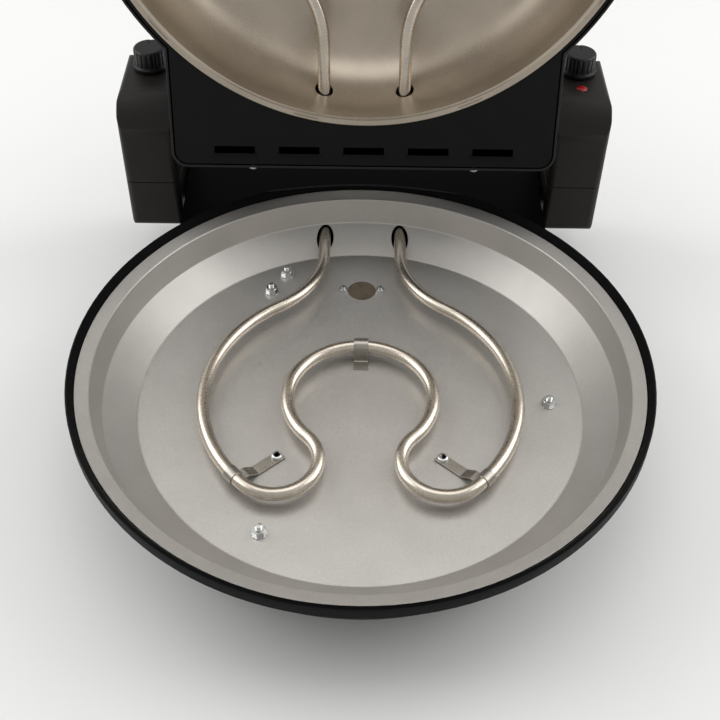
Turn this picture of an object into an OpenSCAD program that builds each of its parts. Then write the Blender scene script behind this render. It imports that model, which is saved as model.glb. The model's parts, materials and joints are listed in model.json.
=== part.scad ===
// Electric pizza maker with a hinged dome lid, standing open on its feet.
// Millimetres, +Z up. The feet stand on z = 0 and the front faces -Y.

/* [Pan] */
// Radius of the seat that the baking stone rests on
stone_r = 154.8; // [140:0.1:170]
// Outward lean of the pan wall between the stone seat and the ridge
wall_lean = 5; // [3:0.1:7]
// Width of the flange outside the ridge
flange_w = 8.2; // [7:0.1:10]
// Fall of the flange from its edge to the ridge
ridge_drop = 2.1; // [1:0.1:3]
// Depth of the stone seat below the flange edge
seat_depth = 18.3; // [16:0.1:20]
// Width of the slope between the stone seat and the floor
slope_w = 18.9; // [16:0.1:22]
// Depth of the pan floor below the flange edge
floor_depth = 32.9; // [31:0.1:36]
// Thickness of the pan sheet
pan_t = 1; // [0.8:0.1:1.4]
// Inner radius of the bend at the ridge
ridge_bend = 1; // [0.5:0.1:2]
// Inner radius of the bend at the stone seat
seat_bend = 2; // [1:0.1:4]
// Inner radius of the bend round the floor
floor_bend = 5; // [3:0.5:8]

/* [Base] */
// Height of the flange edge above the table
flange_z = 70; // [68:0.5:76]
// Height of the black rim above the flange edge
rim_h = 5.1; // [4:0.1:7]
// Width of the black rim
rim_w = 4.2; // [3.5:0.1:6]
// Height of the upright band under the rim
rim_skirt = 4; // [3:0.5:5]
// Slope of the bowl wall above the horizontal, in degrees
bowl_slope = 59; // [57:1:64]
// Radius of the round between the bowl wall and its bottom
bowl_round = 40; // [32:1:46]
// Height of the feet
foot_h = 8; // [6:0.5:12]
// Radius of a foot
foot_r = 11; // [9:0.5:14]
// Wall thickness of the moulded base parts
base_wall = 2.5; // [2:0.1:3]
// Distance from the deck's side edge in to the side of the rear housing
neck_step = 13.5; // [11:0.5:20]
// Distance from the back of a tower in to the back of the rear housing
neck_inset = 7; // [4:0.5:12]
// Corner radius of the rear housing
neck_round = 14; // [8:1:18]
// Width of the inner lip that the bottom cover lies against
cover_lip = 4; // [3:0.5:4.5]
// Distance from the rim's outer side in to the deck's side edge
deck_inset = 49.2; // [47:0.1:52]
// Fall from the flange edge to the top of the deck
deck_drop = 2; // [1.5:0.5:3]
// Depth of the deck's side skirts
deck_skirt = 12; // [8:1:14]

/* [Hinge towers] */
// Distance from the rim's outer edge in to the front of a tower
tower_inset = 9.2; // [8:0.1:11]
// Depth of a tower, front to back
tower_d = 71.5; // [68:0.5:76]
// Gap between the deck and a tower
tower_gap = 3.5; // [3:0.1:5]
// Width of a tower
tower_w = 37; // [35:0.5:42]
// Depth of a tower's bottom below the flange edge
tower_drop = 31; // [30:0.5:36]
// Height of a tower's top above the flange edge
tower_rise = 69; // [68:0.5:74]
// Height of the seam between a tower's two mouldings
seam_z = 7; // [5:0.5:12]
// Radius of a tower's rounded front top edge
tower_round = 25; // [22:1:27]
// Radius of a tower's back top edge
tower_back_round = 12; // [8:1:14]
// Radius of the small edge rounds on a tower
tower_edge = 5; // [3:0.5:6]

/* [Lid] */
// Angle between the closed lid and the open lid, in degrees
open_deg = 105.8; // [95:0.1:108]
// Distance from the rim's outer edge out to the hinge axis
hinge_out = 4.3; // [3.5:0.1:7]
// Height of the hinge axis above the flange edge
hinge_z = 55; // [53:0.5:56]
// Gap between the closed lid and the rim
lid_gap = 1.1; // [0.8:0.1:2]
// Height of the lid's upright side band
lid_band = 14; // [10:0.5:18]
// Radius of the lid's shoulder
shoulder_r = 70; // [62:1:74]
// Height of the lid
lid_h = 98; // [96:0.5:106]
// Wall thickness of the lid
lid_wall = 1.5; // [1:0.1:2]
// Distance from the deck's side edge in to the side of the lid's rear block
block_step = 1.5; // [0.5:0.1:3]
// Distance from the hinge axis out to the back of the lid's rear block
block_out = 20; // [16:0.5:22]
// Height of the lid's rear block
block_h = 72; // [70:0.5:76]
// Radius of the rear block's top back edge
block_round = 24; // [16:1:28]
// Radius of the rear block's side edges
block_edge = 10; // [6:0.5:12]
// Gap between the lid plate and the lid wall
plate_gap = 0.8; // [0.4:0.1:1.5]
// Thickness of the lid plate and the reflector
plate_t = 0.9; // [0.7:0.1:1.2]
// Height of the lid plate's turned edge
plate_turn = 8; // [5:0.5:12]

/* [Reflector] */
// Distance from the lid's edge in to the reflector ring
ring_gap = 4.4; // [3.7:0.1:8]
// Width of the reflector ring
ring_w = 4.8; // [4:0.1:7]
// Radius of the rolled bead along the ring's outer edge
bead_r = 0.6; // [0.5:0.05:0.7]
// Radius of the reflector's dished edge
dish_round = 50; // [40:1:50]
// Depth of the reflector dish
dish_h = 58; // [56:0.5:66]
// Number of slots in the reflector ring
ring_slots = 10; // [6:1:14]
// Length of a slot in the reflector ring
ring_slot_l = 16; // [10:0.5:22]
// Width of a slot in the reflector ring
ring_slot_w = 1.5; // [1:0.1:2]

/* [Louvres] */
// Number of louvres in the lid plate
louvres = 5; // [3:1:5]
// Spacing of the louvres
louvre_pitch = 41; // [34:0.5:46]
// Length of a louvre slot
louvre_l = 27.5; // [20:0.5:32]
// Width of a louvre slot
louvre_w = 4.2; // [3:0.1:5]
// Distance from the louvre slots to the back edge of the lid
louvre_inset = 12; // [10:0.5:18]
// Height of a louvre's pressed lip
louvre_lip = 1.6; // [1:0.1:2.5]
// Width of a louvre's pressed lip
louvre_run = 3; // [2:0.1:4]

/* [Heaters] */
// Radius of the heater tube
tube_r = 4; // [3.5:0.1:4.5]
// Height of the lower tube's axis above the pan floor
tube_rise = 9; // [8.5:0.1:9.3]
// Distance of a straight leg from the middle
leg_x = 26; // [22:0.5:32]
// Radius of the bend from a leg to the outer sweep
leg_bend = 64; // [50:1:76]
// Distance from the edge of the pan floor in to the radius of the outer sweep
sweep_inset = 40.6; // [34:0.1:48]
// Distance of the outer sweep's centre in front of the pan axis
sweep_y = 5.4; // [0:0.1:10]
// Radius of the two front loops
loop_r = 25; // [21:0.5:29]
// Angle of the outer sweep's end below the X axis, in degrees
loop_deg = 44.5; // [40:0.5:49]
// Radius of the middle arch
arch_r = 44.2; // [41:0.1:48]
// Length of the straight runs between the bends
tube_run = 2; // [1:0.5:5]
// Distance from the rim's outer edge in to the end of a straight leg
leg_inset = 4.7; // [1:0.1:9]
// Height of the upper tube's axis above the lid's underside
upper_tube_z = 30; // [28:0.5:34]
// Radius of the leg holes in the pan and the reflector
leg_hole_r = 5.8; // [5:0.1:7]

/* [Clamps] */
// Width of the two side clamps
clamp_w = 7; // [5:0.5:9]
// Width of the middle clamp
strap_w = 9; // [6:0.5:12]
// Thickness of the clamp sheet
clamp_t = 0.9; // [0.6:0.1:1.2]
// Clearance between a clamp and its tube
clamp_clear = 0.1; // [0.05:0.05:0.3]
// Angle of a side clamp below the X axis, in degrees
clamp_deg = 41; // [36:0.5:44]
// Distance from a side clamp's tube to its screw
clamp_reach = 31; // [26:0.5:36]

/* [Fasteners] */
// Radius of the pan studs
stud_r = 2; // [1.5:0.1:2.5]
// Distance from the edge of the pan floor in to the three pan studs
stud_inset = 20.6; // [16:0.1:28]
// Width of a nut across its flats
nut_af = 7; // [6:0.1:8]
// Height of a nut
nut_h = 3.2; // [2.5:0.1:4]
// Thickness of a toothed washer
washer_t = 0.8; // [0.5:0.1:1.2]
// Outer radius of a pan spacer
spacer_r = 5; // [4:0.1:7]
// Radius of the small screws
screw_r = 1.7; // [1.4:0.1:2]
// Clearance of a screw or stud in its hole
screw_clear = 0.2; // [0.1:0.05:0.4]
// Radius of the overheat cut-out's disc
cutout_r = 9.2; // [8:0.1:11]
// Distance from the edge of the pan floor in to the overheat cut-out
cutout_inset = 36.1; // [32:0.1:42]
// Half the spacing of the cut-out's bolts
cutout_bolt_x = 12.4; // [12.4:0.1:15]
// Radius of the cut-out's bolts
bolt_r = 1.4; // [1.2:0.1:1.6]
// Width of a bolt's nut across its flats
bolt_nut_af = 5; // [4.5:0.1:5.5]
// Height of a bolt's nut
bolt_nut_h = 2.2; // [1.8:0.1:3]

/* [Hinge pins] */
// Radius of a hinge pin
pin_r = 3.5; // [3.2:0.1:4]
// Radius of the hole through a hinge pin
pin_hole_r = 2.2; // [2:0.1:2.4]
// Running clearance of a pin in its bush
pin_clear = 0.06; // [0.03:0.01:0.09]
// Wall thickness of a hinge bush
bush_wall = 1.6; // [1.2:0.1:2.2]
// Thickness of the hinge bracket in the lid
bracket_t = 2.4; // [1.5:0.1:3]
// Radius of the lead that passes through the left pin
lead_r = 1.7; // [1.4:0.1:1.9]

/* [Controls] */
// Radius of a knob
knob_r = 12; // [10:0.5:13]
// Height of a knob
knob_h = 14; // [11:0.5:18]
// Number of flutes round a knob
flutes = 18; // [10:1:24]
// Radius of a control shaft
shaft_r = 3; // [2.5:0.1:3.5]
// Distance from the front of a tower to a knob's axis
knob_back = 48.5; // [44:0.5:49.5]
// Width of a control body
control_w = 26; // [22:0.5:27]
// Height of a control body
control_h = 20; // [16:0.5:24]
// Radius of the pilot lamp's lens
lamp_r = 2.5; // [2:0.1:3]

/* [Handle] */
// Half the angle that the handle bar spans, in degrees
handle_deg = 20; // [15:0.5:26]
// Clear gap behind the handle bar
handle_gap = 24; // [20:0.5:30]
// Thickness of the handle bar
handle_t = 12; // [9:0.5:16]
// Height of the handle bar
handle_h = 20; // [16:0.5:26]
// Height of the handle's lower edge above the lid's underside
handle_z = 16; // [14:0.5:22]

/* [Cord outlet] */
// Radius of the cord gland's bore
gland_bore_r = 3.6; // [3:0.1:4.5]
// Radius of the cord gland's barrel
gland_r = 7; // [6:0.1:9]
// Distance of the cord gland from the middle
gland_x = 60; // [40:1:80]

/* [Hidden] */
$fn = 64;

// Small distances that cut clean through a face, that seat one piece on another, and that parts keep
over = 1;
seat_gap = 0.1;
part_gap = 0.4;

// Levels below and above the flange edge, and radii of the pan
ridge_r = stone_r + wall_lean;
flange_r = ridge_r + flange_w;
floor_r = stone_r - slope_w;
floor_z = -floor_depth;
tube_z = floor_z + tube_rise;
rim_in = flange_r + 0.5;
rim_r = rim_in + rim_w;
sweep_r = floor_r - sweep_inset;
leg_end = rim_r - leg_inset;
stud_pcd_r = floor_r - stud_inset;
cutout_y = floor_r - cutout_inset;
table_z = -flange_z;
bowl_z = table_z + foot_h;
inside_z = bowl_z + base_wall;
deck_z = -deck_drop;

// Deck, towers and rear housing
deck_half = rim_r - deck_inset;
tower_front = rim_r - tower_inset;
tower_in = deck_half + tower_gap;
tower_out = tower_in + tower_w;
tower_back = tower_front + tower_d;
neck_half = deck_half - neck_step;
neck_back = tower_back - neck_inset;
knob_y = tower_front + knob_back;
tower_top = tower_rise;
tower_bottom = -tower_drop;

// Lid, with its height counted from its underside
hinge_y = rim_r + hinge_out;
block_half = deck_half - block_step;
block_back = hinge_y + block_out;
ring_r = rim_r - ring_gap;
lid_plane_z = rim_h + lid_gap;
plate_z = 0.4;
plate_inset = lid_wall + plate_gap;
pin_z = hinge_z - lid_plane_z;
lid_swing_r = norm([block_out, pin_z]) + 2 * part_gap;
shoulder_c = [rim_r - shoulder_r, lid_band];
shoulder_top = lid_h - shoulder_c.y;
crown_r = (shoulder_c.x * shoulder_c.x + shoulder_top * shoulder_top - shoulder_r * shoulder_r)
    / (2 * (shoulder_top - shoulder_r));
crown_z = lid_h - crown_r;
crown_deg = atan2(shoulder_c.x, shoulder_c.y - crown_z);

// The lid leans back by this much past upright, and its shoulder is then the rearmost place
lean = open_deg - 90;
open_reach = hinge_y + (shoulder_c.x + hinge_y) * sin(lean)
    + (shoulder_c.y - pin_z) * cos(lean) + shoulder_r;
// The origin lies under the middle of the open machine
pan_y = (rim_r - open_reach) / 2;

// The heater's outline: arcs joined by short straight runs. An angle on a circle gives the place where a
// run meets it, out is the direction from the circle's centre to there, and ahead is the way the tube goes.
function out(a) = [cos(a), sin(a)];
function ahead(a) = [sin(a), -cos(a)];
sweep_c = [0, -sweep_y];
bend_span = norm([sweep_r + leg_bend, tube_run]);
bend_deg = acos((leg_x + leg_bend) / bend_span) - atan2(tube_run, sweep_r + leg_bend);
bend_c = sweep_c + (sweep_r + leg_bend) * out(bend_deg) - tube_run * ahead(bend_deg);
loop_c = sweep_c + (sweep_r - loop_r) * out(-loop_deg) + tube_run * ahead(-loop_deg);
arch_deg = 180 - acos(-loop_c.x / norm([loop_r + arch_r, tube_run])) - atan2(tube_run, loop_r + arch_r);
arch_c = loop_c + (loop_r + arch_r) * out(180 - arch_deg) + tube_run * ahead(180 - arch_deg);
arch_top = arch_c.y + arch_r;

// Places of the pan's fixings
stud_places = [for (a = [-1, -118.6, 121.8]) stud_pcd_r * [cos(a), sin(a)]];
earth_inset = 9.3;
earth_deg = 113.95;
earth_place = (floor_r - earth_inset) * [cos(earth_deg), sin(earth_deg)];
clamp_tube = [for (s = [-1, 1]) [s * sweep_r * cos(clamp_deg), -sweep_y - sweep_r * sin(clamp_deg)]];
front_foot = 75;
rear_foot_inset = [25, 30];
foot_places = [for (s = [-1, 1]) each [[s * front_foot, -front_foot],
    [s * (neck_half - rear_foot_inset.x), neck_back - rear_foot_inset.y]]];
boss_inset = 9;
tower_screw_y = [tower_front + boss_inset, tower_back - boss_inset];

// An outline moved sideways by t, to the left of its direction, with its corners kept
function normal(a, b) = let (d = b - a) [-d.y, d.x] / norm(d);
function mitre(p, i, t) = let (
    n0 = normal(p[max(i - 1, 0)], p[max(i, 1)]),
    n1 = normal(p[min(i, len(p) - 2)], p[min(i + 1, len(p) - 1)]),
    m = (n0 + n1) / norm(n0 + n1)) p[i] + m * t / (m * n0);
function shifted(p, t) = [for (i = [0 : len(p) - 1]) mitre(p, i, t)];

// The corner b of an outline a, b, c: half its angle, its tangent ends and its centre for radius r
function unit(v) = v / norm(v);
function half_turn(a, b, c) = acos(unit(a - b) * unit(c - b)) / 2;
function tangent_end(a, b, c, r) = b + unit(a - b) * r / tan(half_turn(a, b, c));
function corner_centre(a, b, c, r) = b + unit(unit(a - b) + unit(c - b)) * r / sin(half_turn(a, b, c));

// The sector of a circle that rounds a corner
module corner_sector(a, b, c, r) {
    centre = corner_centre(a, b, c, r);
    reach = 1.5;
    intersection() {
        translate(centre) circle(r = r);
        polygon([centre, for (q = [tangent_end(a, b, c, r), b, tangent_end(c, b, a, r)])
            centre + reach * (q - centre)]);
    }
}
// An outline with true round corners: a radius for each point, 0 where the corner is sharp, and a
// negative radius where the corner turns inwards
module rounded(p, r) {
    n = len(p);
    difference() {
        union() {
            polygon([for (i = [0 : n - 1]) let (a = p[(i + n - 1) % n], b = p[i], c = p[(i + 1) % n])
                each (r[i] == 0 ? [b] : [tangent_end(a, b, c, abs(r[i])), tangent_end(c, b, a, abs(r[i]))])]);
            for (i = [0 : n - 1]) if (r[i] > 0)
                corner_sector(p[(i + n - 1) % n], p[i], p[(i + 1) % n], r[i]);
        }
        for (i = [0 : n - 1]) if (r[i] < 0)
            corner_sector(p[(i + n - 1) % n], p[i], p[(i + 1) % n], -r[i]);
    }
}
// A sheet of thickness t to the left of a line of points (to its right if t is negative), bent at
// each inner point with that inner radius
module bent_sheet(p, r, t) {
    last = len(p) - 1;
    left = [for (i = [1 : last - 1]) let (d = p[i] - p[i - 1], e = p[i + 1] - p[i])
        (d.x * e.y - d.y * e.x) * t > 0];
    outer = [for (i = [0 : last - 2]) r[i] + (left[i] ? abs(t) : 0)];
    for (i = [0 : last - 1]) {
        a = i == 0 ? p[0] : tangent_end(p[i + 1], p[i], p[i - 1], outer[i - 1]);
        b = i == last - 1 ? p[last] : tangent_end(p[i], p[i + 1], p[i + 2], outer[i]);
        polygon([a, b, b + normal(a, b) * t, a + normal(a, b) * t]);
    }
    for (i = [1 : last - 1]) {
        c = corner_centre(p[i - 1], p[i], p[i + 1], outer[i - 1]);
        reach = 2 * (r[i - 1] + abs(t)) / outer[i - 1];
        intersection() {
            difference() {
                translate(c) circle(r = r[i - 1] + abs(t));
                translate(c) circle(r = r[i - 1]);
            }
            a = tangent_end(p[i - 1], p[i], p[i + 1], outer[i - 1]);
            b = tangent_end(p[i + 1], p[i], p[i - 1], outer[i - 1]);
            polygon([c, c + reach * (a - c), c + reach * (p[i] - c), c + reach * (b - c)]);
        }
    }
}

// Frames: the pan's, and the lid's, which is modelled closed and then swung open about its hinge
module pan_frame() translate([0, pan_y, flange_z]) children();
module lid_frame() pan_frame() translate([0, hinge_y, hinge_z]) rotate([-open_deg, 0, 0])
    translate([0, -hinge_y, -pin_z]) children();

// Basic forms
module both_sides() {
    children();
    mirror([1, 0, 0]) children();
}
module at(p, z = 0) translate([p.x, p.y, z]) children();
module disc(z0, z1, r) translate([0, 0, z0]) cylinder(r = r, h = z1 - z0);
module block(lo, hi) translate(lo) cube(hi - lo);
module bar_x(x0, x1, r) translate([x0, 0, 0]) rotate([0, 90, 0]) cylinder(r = r, h = x1 - x0);
module bar_y(y0, y1, r) translate([0, y0, 0]) rotate([-90, 0, 0]) cylinder(r = r, h = y1 - y0);
module rod(a, b, r) {
    d = b - a;
    translate(a) rotate([0, acos(d.z / norm(d)), atan2(d.y, d.x)]) cylinder(r = r, h = norm(d));
}
// A shape drawn in Y and Z, carried along X
module along_x(x0, x1) translate([x0, 0, 0]) rotate([90, 0, 90]) linear_extrude(x1 - x0) children();
// A shape drawn in X and Z, carried along Y
module along_y(y0, y1) translate([0, y1, 0]) rotate([90, 0, 0]) linear_extrude(y1 - y0) children();
// A shape drawn in X and Y, carried up Z
module along_z(z0, z1) translate([0, 0, z0]) linear_extrude(z1 - z0) children();
// A slot with round ends along X, cut through z0 to z1
module slot(l, w, z0, z1) {
    block([-(l - w) / 2, -w / 2, z0], [(l - w) / 2, w / 2, z1]);
    for (s = [-1, 1]) translate([s * (l - w) / 2, 0, 0]) disc(z0, z1, w / 2);
}
// A pan-head screw with a cross recess, its head's underside at z = 0
module screw(r, length, head_r, head_h) {
    difference() {
        union() {
            rotate_extrude() rounded([[0, 0], [head_r, 0], [head_r, head_h], [0, head_h]],
                [0, 0, head_h * 0.6, 0]);
            disc(-length, seat_gap, r);
        }
        for (a = [0, 90]) rotate([0, 0, a])
            block([-head_r * 0.55, -0.35, head_h * 0.45], [head_r * 0.55, 0.35, head_h + over]);
    }
}

// Pan

pan_line = [[flange_r, 0], [ridge_r, -ridge_drop], [stone_r, -seat_depth], [floor_r, floor_z], [0, floor_z]];

module leg_holes(y0, y1, z) both_sides() translate([leg_x, 0, z]) bar_y(y0, y1, leg_hole_r);

// The space above a line of the pan's section, with a radius for each of its points
module pan_space(top, line, r) rounded(concat([[0, top], [line[0].x, top]], line), concat([0, 0], r));
module base_pan() color("silver") pan_frame() difference() {
    rotate_extrude($fn = 180) difference() {
        pan_space(over, concat([pan_line[0]], shifted(pan_line, pan_t)),
            [0, 0, -ridge_bend, 0, 0, 0]);
        pan_space(2 * over, concat([pan_line[0] + over * unit(pan_line[0] - pan_line[1])],
            [for (i = [1 : 4]) pan_line[i]]), [0, -ridge_bend - pan_t, seat_bend, floor_bend, 0]);
    }
    leg_holes(floor_r - over, rim_r, tube_z - 0.5);
    for (p = concat(stud_places, [earth_place]))
        at(p) disc(floor_z - pan_t - over, floor_z + over, stud_r + screw_clear);
    translate([0, cutout_y, 0]) disc(floor_z - pan_t - over, floor_z + over, cutout_r + screw_clear);
    for (p = clamp_screw_places) at(p) disc(floor_z - pan_t - over, floor_z + over, screw_r + screw_clear);
    for (p = cutout_bolt_places) at(p) disc(floor_z - pan_t - over, floor_z + over, bolt_r + screw_clear);
}

// Base shell: a bowl that opens at the back into the rear housing, and is open below

rim_edge = 1.2;
ledge_in = flange_r - 2.5;
ledge_z = -ridge_drop * (flange_r - ledge_in) / flange_w - pan_t - 2 * seat_gap;
bowl_foot_r = rim_r - (-rim_skirt - bowl_z) / tan(bowl_slope);
bowl_line = [[rim_r, 0], [rim_r, -rim_skirt], [bowl_foot_r, bowl_z], [0, bowl_z]];
bowl_inner = shifted(bowl_line, -base_wall);
bowl_flat_r = bowl_foot_r - bowl_round * tan((90 - bowl_slope) / 2);

// Half the bowl's section, less a wall, below a given height
module bowl_section(wall, top) {
    line = shifted(bowl_line, -wall);
    rounded([[0, top], [rim_r - wall, top], line[1], line[2], line[3]], [0, 0, 0, bowl_round - wall, 0]);
}
// The space above the ledge that carries the pan's flange
module rim_section() polygon([[0, rim_h + over], [rim_in - rim_edge, rim_h + over],
    [rim_in - rim_edge, rim_h], [rim_in, rim_h - rim_edge], [rim_in, ledge_z], [ledge_in, ledge_z],
    [ledge_in, ledge_z - base_wall - over], [0, ledge_z - base_wall - over]]);
module neck_form(inset, top) {
    back = neck_back - inset;
    half = neck_half - inset;
    bottom = bowl_z + inset;
    r = neck_round - inset;
    intersection() {
        along_x(-half, half) rounded([[0, bottom], [back, bottom], [back, top], [0, top]], [0, r, 0, 0]);
        along_z(bottom - over, top + over)
            rounded([[-half, 0], [half, 0], [half, back], [-half, back]], [0, 0, r, r]);
    }
}
// The flat part of the bottom, less an inset
module bottom_outline(inset) {
    r = neck_round - inset;
    half = neck_half - neck_round - inset;
    back = neck_back - neck_round - inset;
    circle(r = bowl_flat_r - inset, $fn = 180);
    translate([-half, 0]) square([2 * half, back]);
}

rim_web = 3;
lip_t = 2;
module base_hollow() {
    rotate_extrude($fn = 180) {
        rim_section();
        bowl_section(base_wall, ledge_z - base_wall);
    }
    neck_form(base_wall, ledge_z - base_wall - rim_web);
    difference() {
        neck_form(base_wall, rim_h);
        disc(bowl_z - over, rim_h + over, rim_r);
    }
}
// The lip round the bottom opening, rooted half way into the wall
module cover_lip_ring() intersection() {
    union() {
        rotate_extrude($fn = 180) bowl_section(base_wall / 2, 0);
        neck_form(base_wall / 2, 0);
    }
    along_z(inside_z - lip_t / 2, inside_z + lip_t / 2) difference() {
        translate([-rim_r, -rim_r]) square(2 * rim_r + neck_back);
        bottom_outline(cover_lip);
    }
}
module base_shell() color("#242625") pan_frame() difference() {
    union() {
        difference() {
            union() {
                rotate_extrude($fn = 180) {
                    bowl_section(0, 0);
                    polygon([[0, -over], [rim_r, -over], [rim_r, rim_h - rim_edge],
                        [rim_r - rim_edge, rim_h], [0, rim_h]]);
                }
                neck_form(0, deck_z - base_wall);
            }
            base_hollow();
        }
        cover_lip_ring();
    }
    along_z(bowl_z - over, inside_z - lip_t / 2) bottom_outline(0);
    along_z(bowl_z - over, inside_z + lip_t) bottom_outline(cover_lip);
    translate([gland_x, 0, gland_z])
        bar_y(neck_back - base_wall - over, neck_back + over, gland_r + screw_clear);
    both_sides() block([neck_half - base_wall - over, arm_y0 + 2 * base_wall, arm_z0 + 2 * base_wall],
        [neck_half + over, arm_y1 - 2 * base_wall, arm_z1 - 2 * base_wall]);
    // The back of the rim makes way for the edge of the lid as it swings
    translate([0, hinge_y, hinge_z]) bar_x(-block_half - over, block_half + over, lid_swing_r);
}

// Bottom cover: it carries the feet, the terminals and the studs, which draw it up against the lip

// Two rows of vent slots
vent_y = 40;
vent_pitch = 14;
vent_l = 44;
vent_w = 4;
vents = 7;
module bottom_vents() for (i = [0 : vents - 1], s = [-1, 1])
    translate([(i - (vents - 1) / 2) * vent_pitch, s * vent_y, 0]) rotate([0, 0, 90])
        slot(vent_l, vent_w, bowl_z - over, inside_z + over);

stud_boss_r = spacer_r + 1.5;
stud_boss_z = inside_z + 2;
module bottom_cover() color("#232423") pan_frame() difference() {
    union() {
        along_z(bowl_z, inside_z - lip_t / 2 - seat_gap) bottom_outline(part_gap);
        along_z(bowl_z, inside_z) bottom_outline(cover_lip + part_gap);
        for (p = stud_places) at(p) disc(bowl_z + base_wall / 2, stud_boss_z, stud_boss_r);
    }
    for (p = stud_places) at(p) disc(bowl_z - over, stud_boss_z + over, stud_r + screw_clear);
    for (p = foot_places) at(p) disc(bowl_z - over, inside_z + over, screw_r + screw_clear);
    bottom_vents();
}

// Deck over the rear housing, with its front edge round the rim
module rear_deck() color("#1a1b1b") pan_frame() difference() {
    union() {
        block([-deck_half, 0, deck_z - base_wall], [deck_half, neck_back, deck_z]);
        both_sides() block([deck_half - base_wall, 0, deck_z - deck_skirt], [deck_half, neck_back, deck_z]);
    }
    disc(deck_z - deck_skirt - over, deck_z + over, rim_r + part_gap);
}

// Heater tube

module heater_tube(y_end) {
    both_sides() {
        tube_line([leg_x, y_end], [leg_x, bend_c.y], [1]);
        at(bend_c) tube_arc(leg_bend, 180, 180 + bend_deg);
        tube_line(bend_c - leg_bend * out(bend_deg), sweep_c + sweep_r * out(bend_deg), [0, 1]);
        at(sweep_c) tube_arc(sweep_r, -loop_deg, bend_deg);
        tube_line(sweep_c + sweep_r * out(-loop_deg), loop_c + loop_r * out(-loop_deg), [0, 1]);
        at(loop_c) tube_arc(loop_r, 180 - arch_deg, 360 - loop_deg);
        tube_line(loop_c + loop_r * out(180 - arch_deg), arch_c - arch_r * out(180 - arch_deg), [0, 1]);
    }
    at(arch_c) tube_arc(arch_r, -arch_deg, 180 + arch_deg);
}
// A straight run from a to b; a hair-wide collar covers each joint between it and a bend
module tube_line(a, b, joints) {
    half = joint_l / 2 * (b - a) / norm(b - a);
    rod([a.x, a.y, 0], [b.x, b.y, 0], tube_r);
    for (t = joints, p = [a + t * (b - a)])
        rod([p.x - half.x, p.y - half.y, 0], [p.x + half.x, p.y + half.y, 0], tube_r + joint_rise);
}
joint_l = 0.6;
joint_rise = 0.02;
module tube_arc(r, a0, a1) rotate([0, 0, a0]) rotate_extrude(angle = a1 - a0, $fn = 96)
    translate([r, 0]) circle(r = tube_r);

module lower_heater() color("#968f85") pan_frame() translate([0, 0, tube_z]) heater_tube(leg_end);

// A heater's two ends: a ceramic bead with a flat tab for the wire
bead_l = 9;
tab_l = 9;
module heater_ends() both_sides() translate([leg_x, 0, 0]) {
    bar_y(leg_end, leg_end + bead_l, tube_r + 1);
    block([-0.4, leg_end + bead_l, -3], [0.4, leg_end + bead_l + tab_l, 3]);
}
module lower_heater_ends() color("#ded8cb") pan_frame() translate([0, 0, tube_z]) heater_ends();

// Sheet bracket behind the pan that holds the lower tube's legs
support_y = leg_end - 6;
support_side = 14;
support_half = leg_x + support_side;
support_foot = 16;
support_rise = 6;
module heater_bracket() color("#a5a7a8") pan_frame() difference() {
    along_x(-support_half, support_half) bent_sheet([[support_y + support_foot, inside_z],
        [support_y, inside_z], [support_y, tube_z + tube_r + support_rise]], [sheet_bend], -clamp_t);
    both_sides() translate([leg_x, 0, tube_z])
        bar_y(support_y - clamp_t - over, support_y + clamp_t + over, tube_r + clamp_clear);
}

// Clamps

// The bore of a ring of width w round a tube that bends with bend_r
function ring_bore(w, bend_r) = tube_r + clamp_clear + w * w / (8 * bend_r);
strip_z = -tube_rise + clamp_t;
sheet_bend = 1;
side_bore = ring_bore(clamp_w, sweep_r);
strap_bore = ring_bore(strap_w, arch_r);
strap_foot = 7;
step_x = [9, 15];
clamp_screw_places = [for (s = [-1, 1])
    [s * (sweep_r - clamp_reach) * cos(clamp_deg), -sweep_y - (sweep_r - clamp_reach) * sin(clamp_deg)]];

// A ring round the tube with a strip that steps down to the floor; the tube lies along Y, the screw along -X
strip_line = [[0, -side_bore], [-step_x[0], -side_bore], [-step_x[1], strip_z],
    [-clamp_reach - clamp_w / 2, strip_z]];
module side_clamp() difference() {
    along_y(-clamp_w / 2, clamp_w / 2) difference() {
        union() {
            circle(r = side_bore + clamp_t);
            polygon(concat(strip_line, [for (i = [3 : -1 : 0]) shifted(strip_line, clamp_t)[i]]));
        }
        circle(r = side_bore);
    }
    translate([-clamp_reach, 0, 0]) disc(-tube_rise - over, strip_z + over, screw_r + screw_clear);
}
module left_heater_clamp() color("#8e8a84") pan_frame() at(clamp_tube[0], tube_z)
    rotate([0, 0, 180 + clamp_deg]) side_clamp();
module right_heater_clamp() color("#8e8a84") pan_frame() at(clamp_tube[1], tube_z)
    rotate([0, 0, -clamp_deg]) side_clamp();

// A strap over the middle arch with two legs to the floor and a foot at the front
module middle_heater_clamp() color("#8e8a84") pan_frame() translate([0, arch_top, tube_z])
    along_x(-strap_w / 2, strap_w / 2) {
        difference() {
            circle(r = strap_bore + clamp_t);
            circle(r = strap_bore);
            translate([-strap_bore - 2 * clamp_t, -2 * strap_bore]) square([4 * strap_bore, 2 * strap_bore]);
        }
        translate([strap_bore, -tube_rise]) square([clamp_t, tube_rise]);
        bent_sheet([[-strap_bore - clamp_t - strap_foot, -tube_rise], [-strap_bore, -tube_rise],
            [-strap_bore, 0]], [sheet_bend], clamp_t);
    }

// Screw heads, and how far a screw passes through what it holds
head_r = 2 * screw_r;
head_h = 2.4;
screw_tail = 4;
module clamp_screws() color("#c9cbcc") pan_frame() for (p = clamp_screw_places)
    at(p, floor_z + clamp_t) screw(screw_r, clamp_t + pan_t + screw_tail, head_r, head_h);

// Pan fixings

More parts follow.
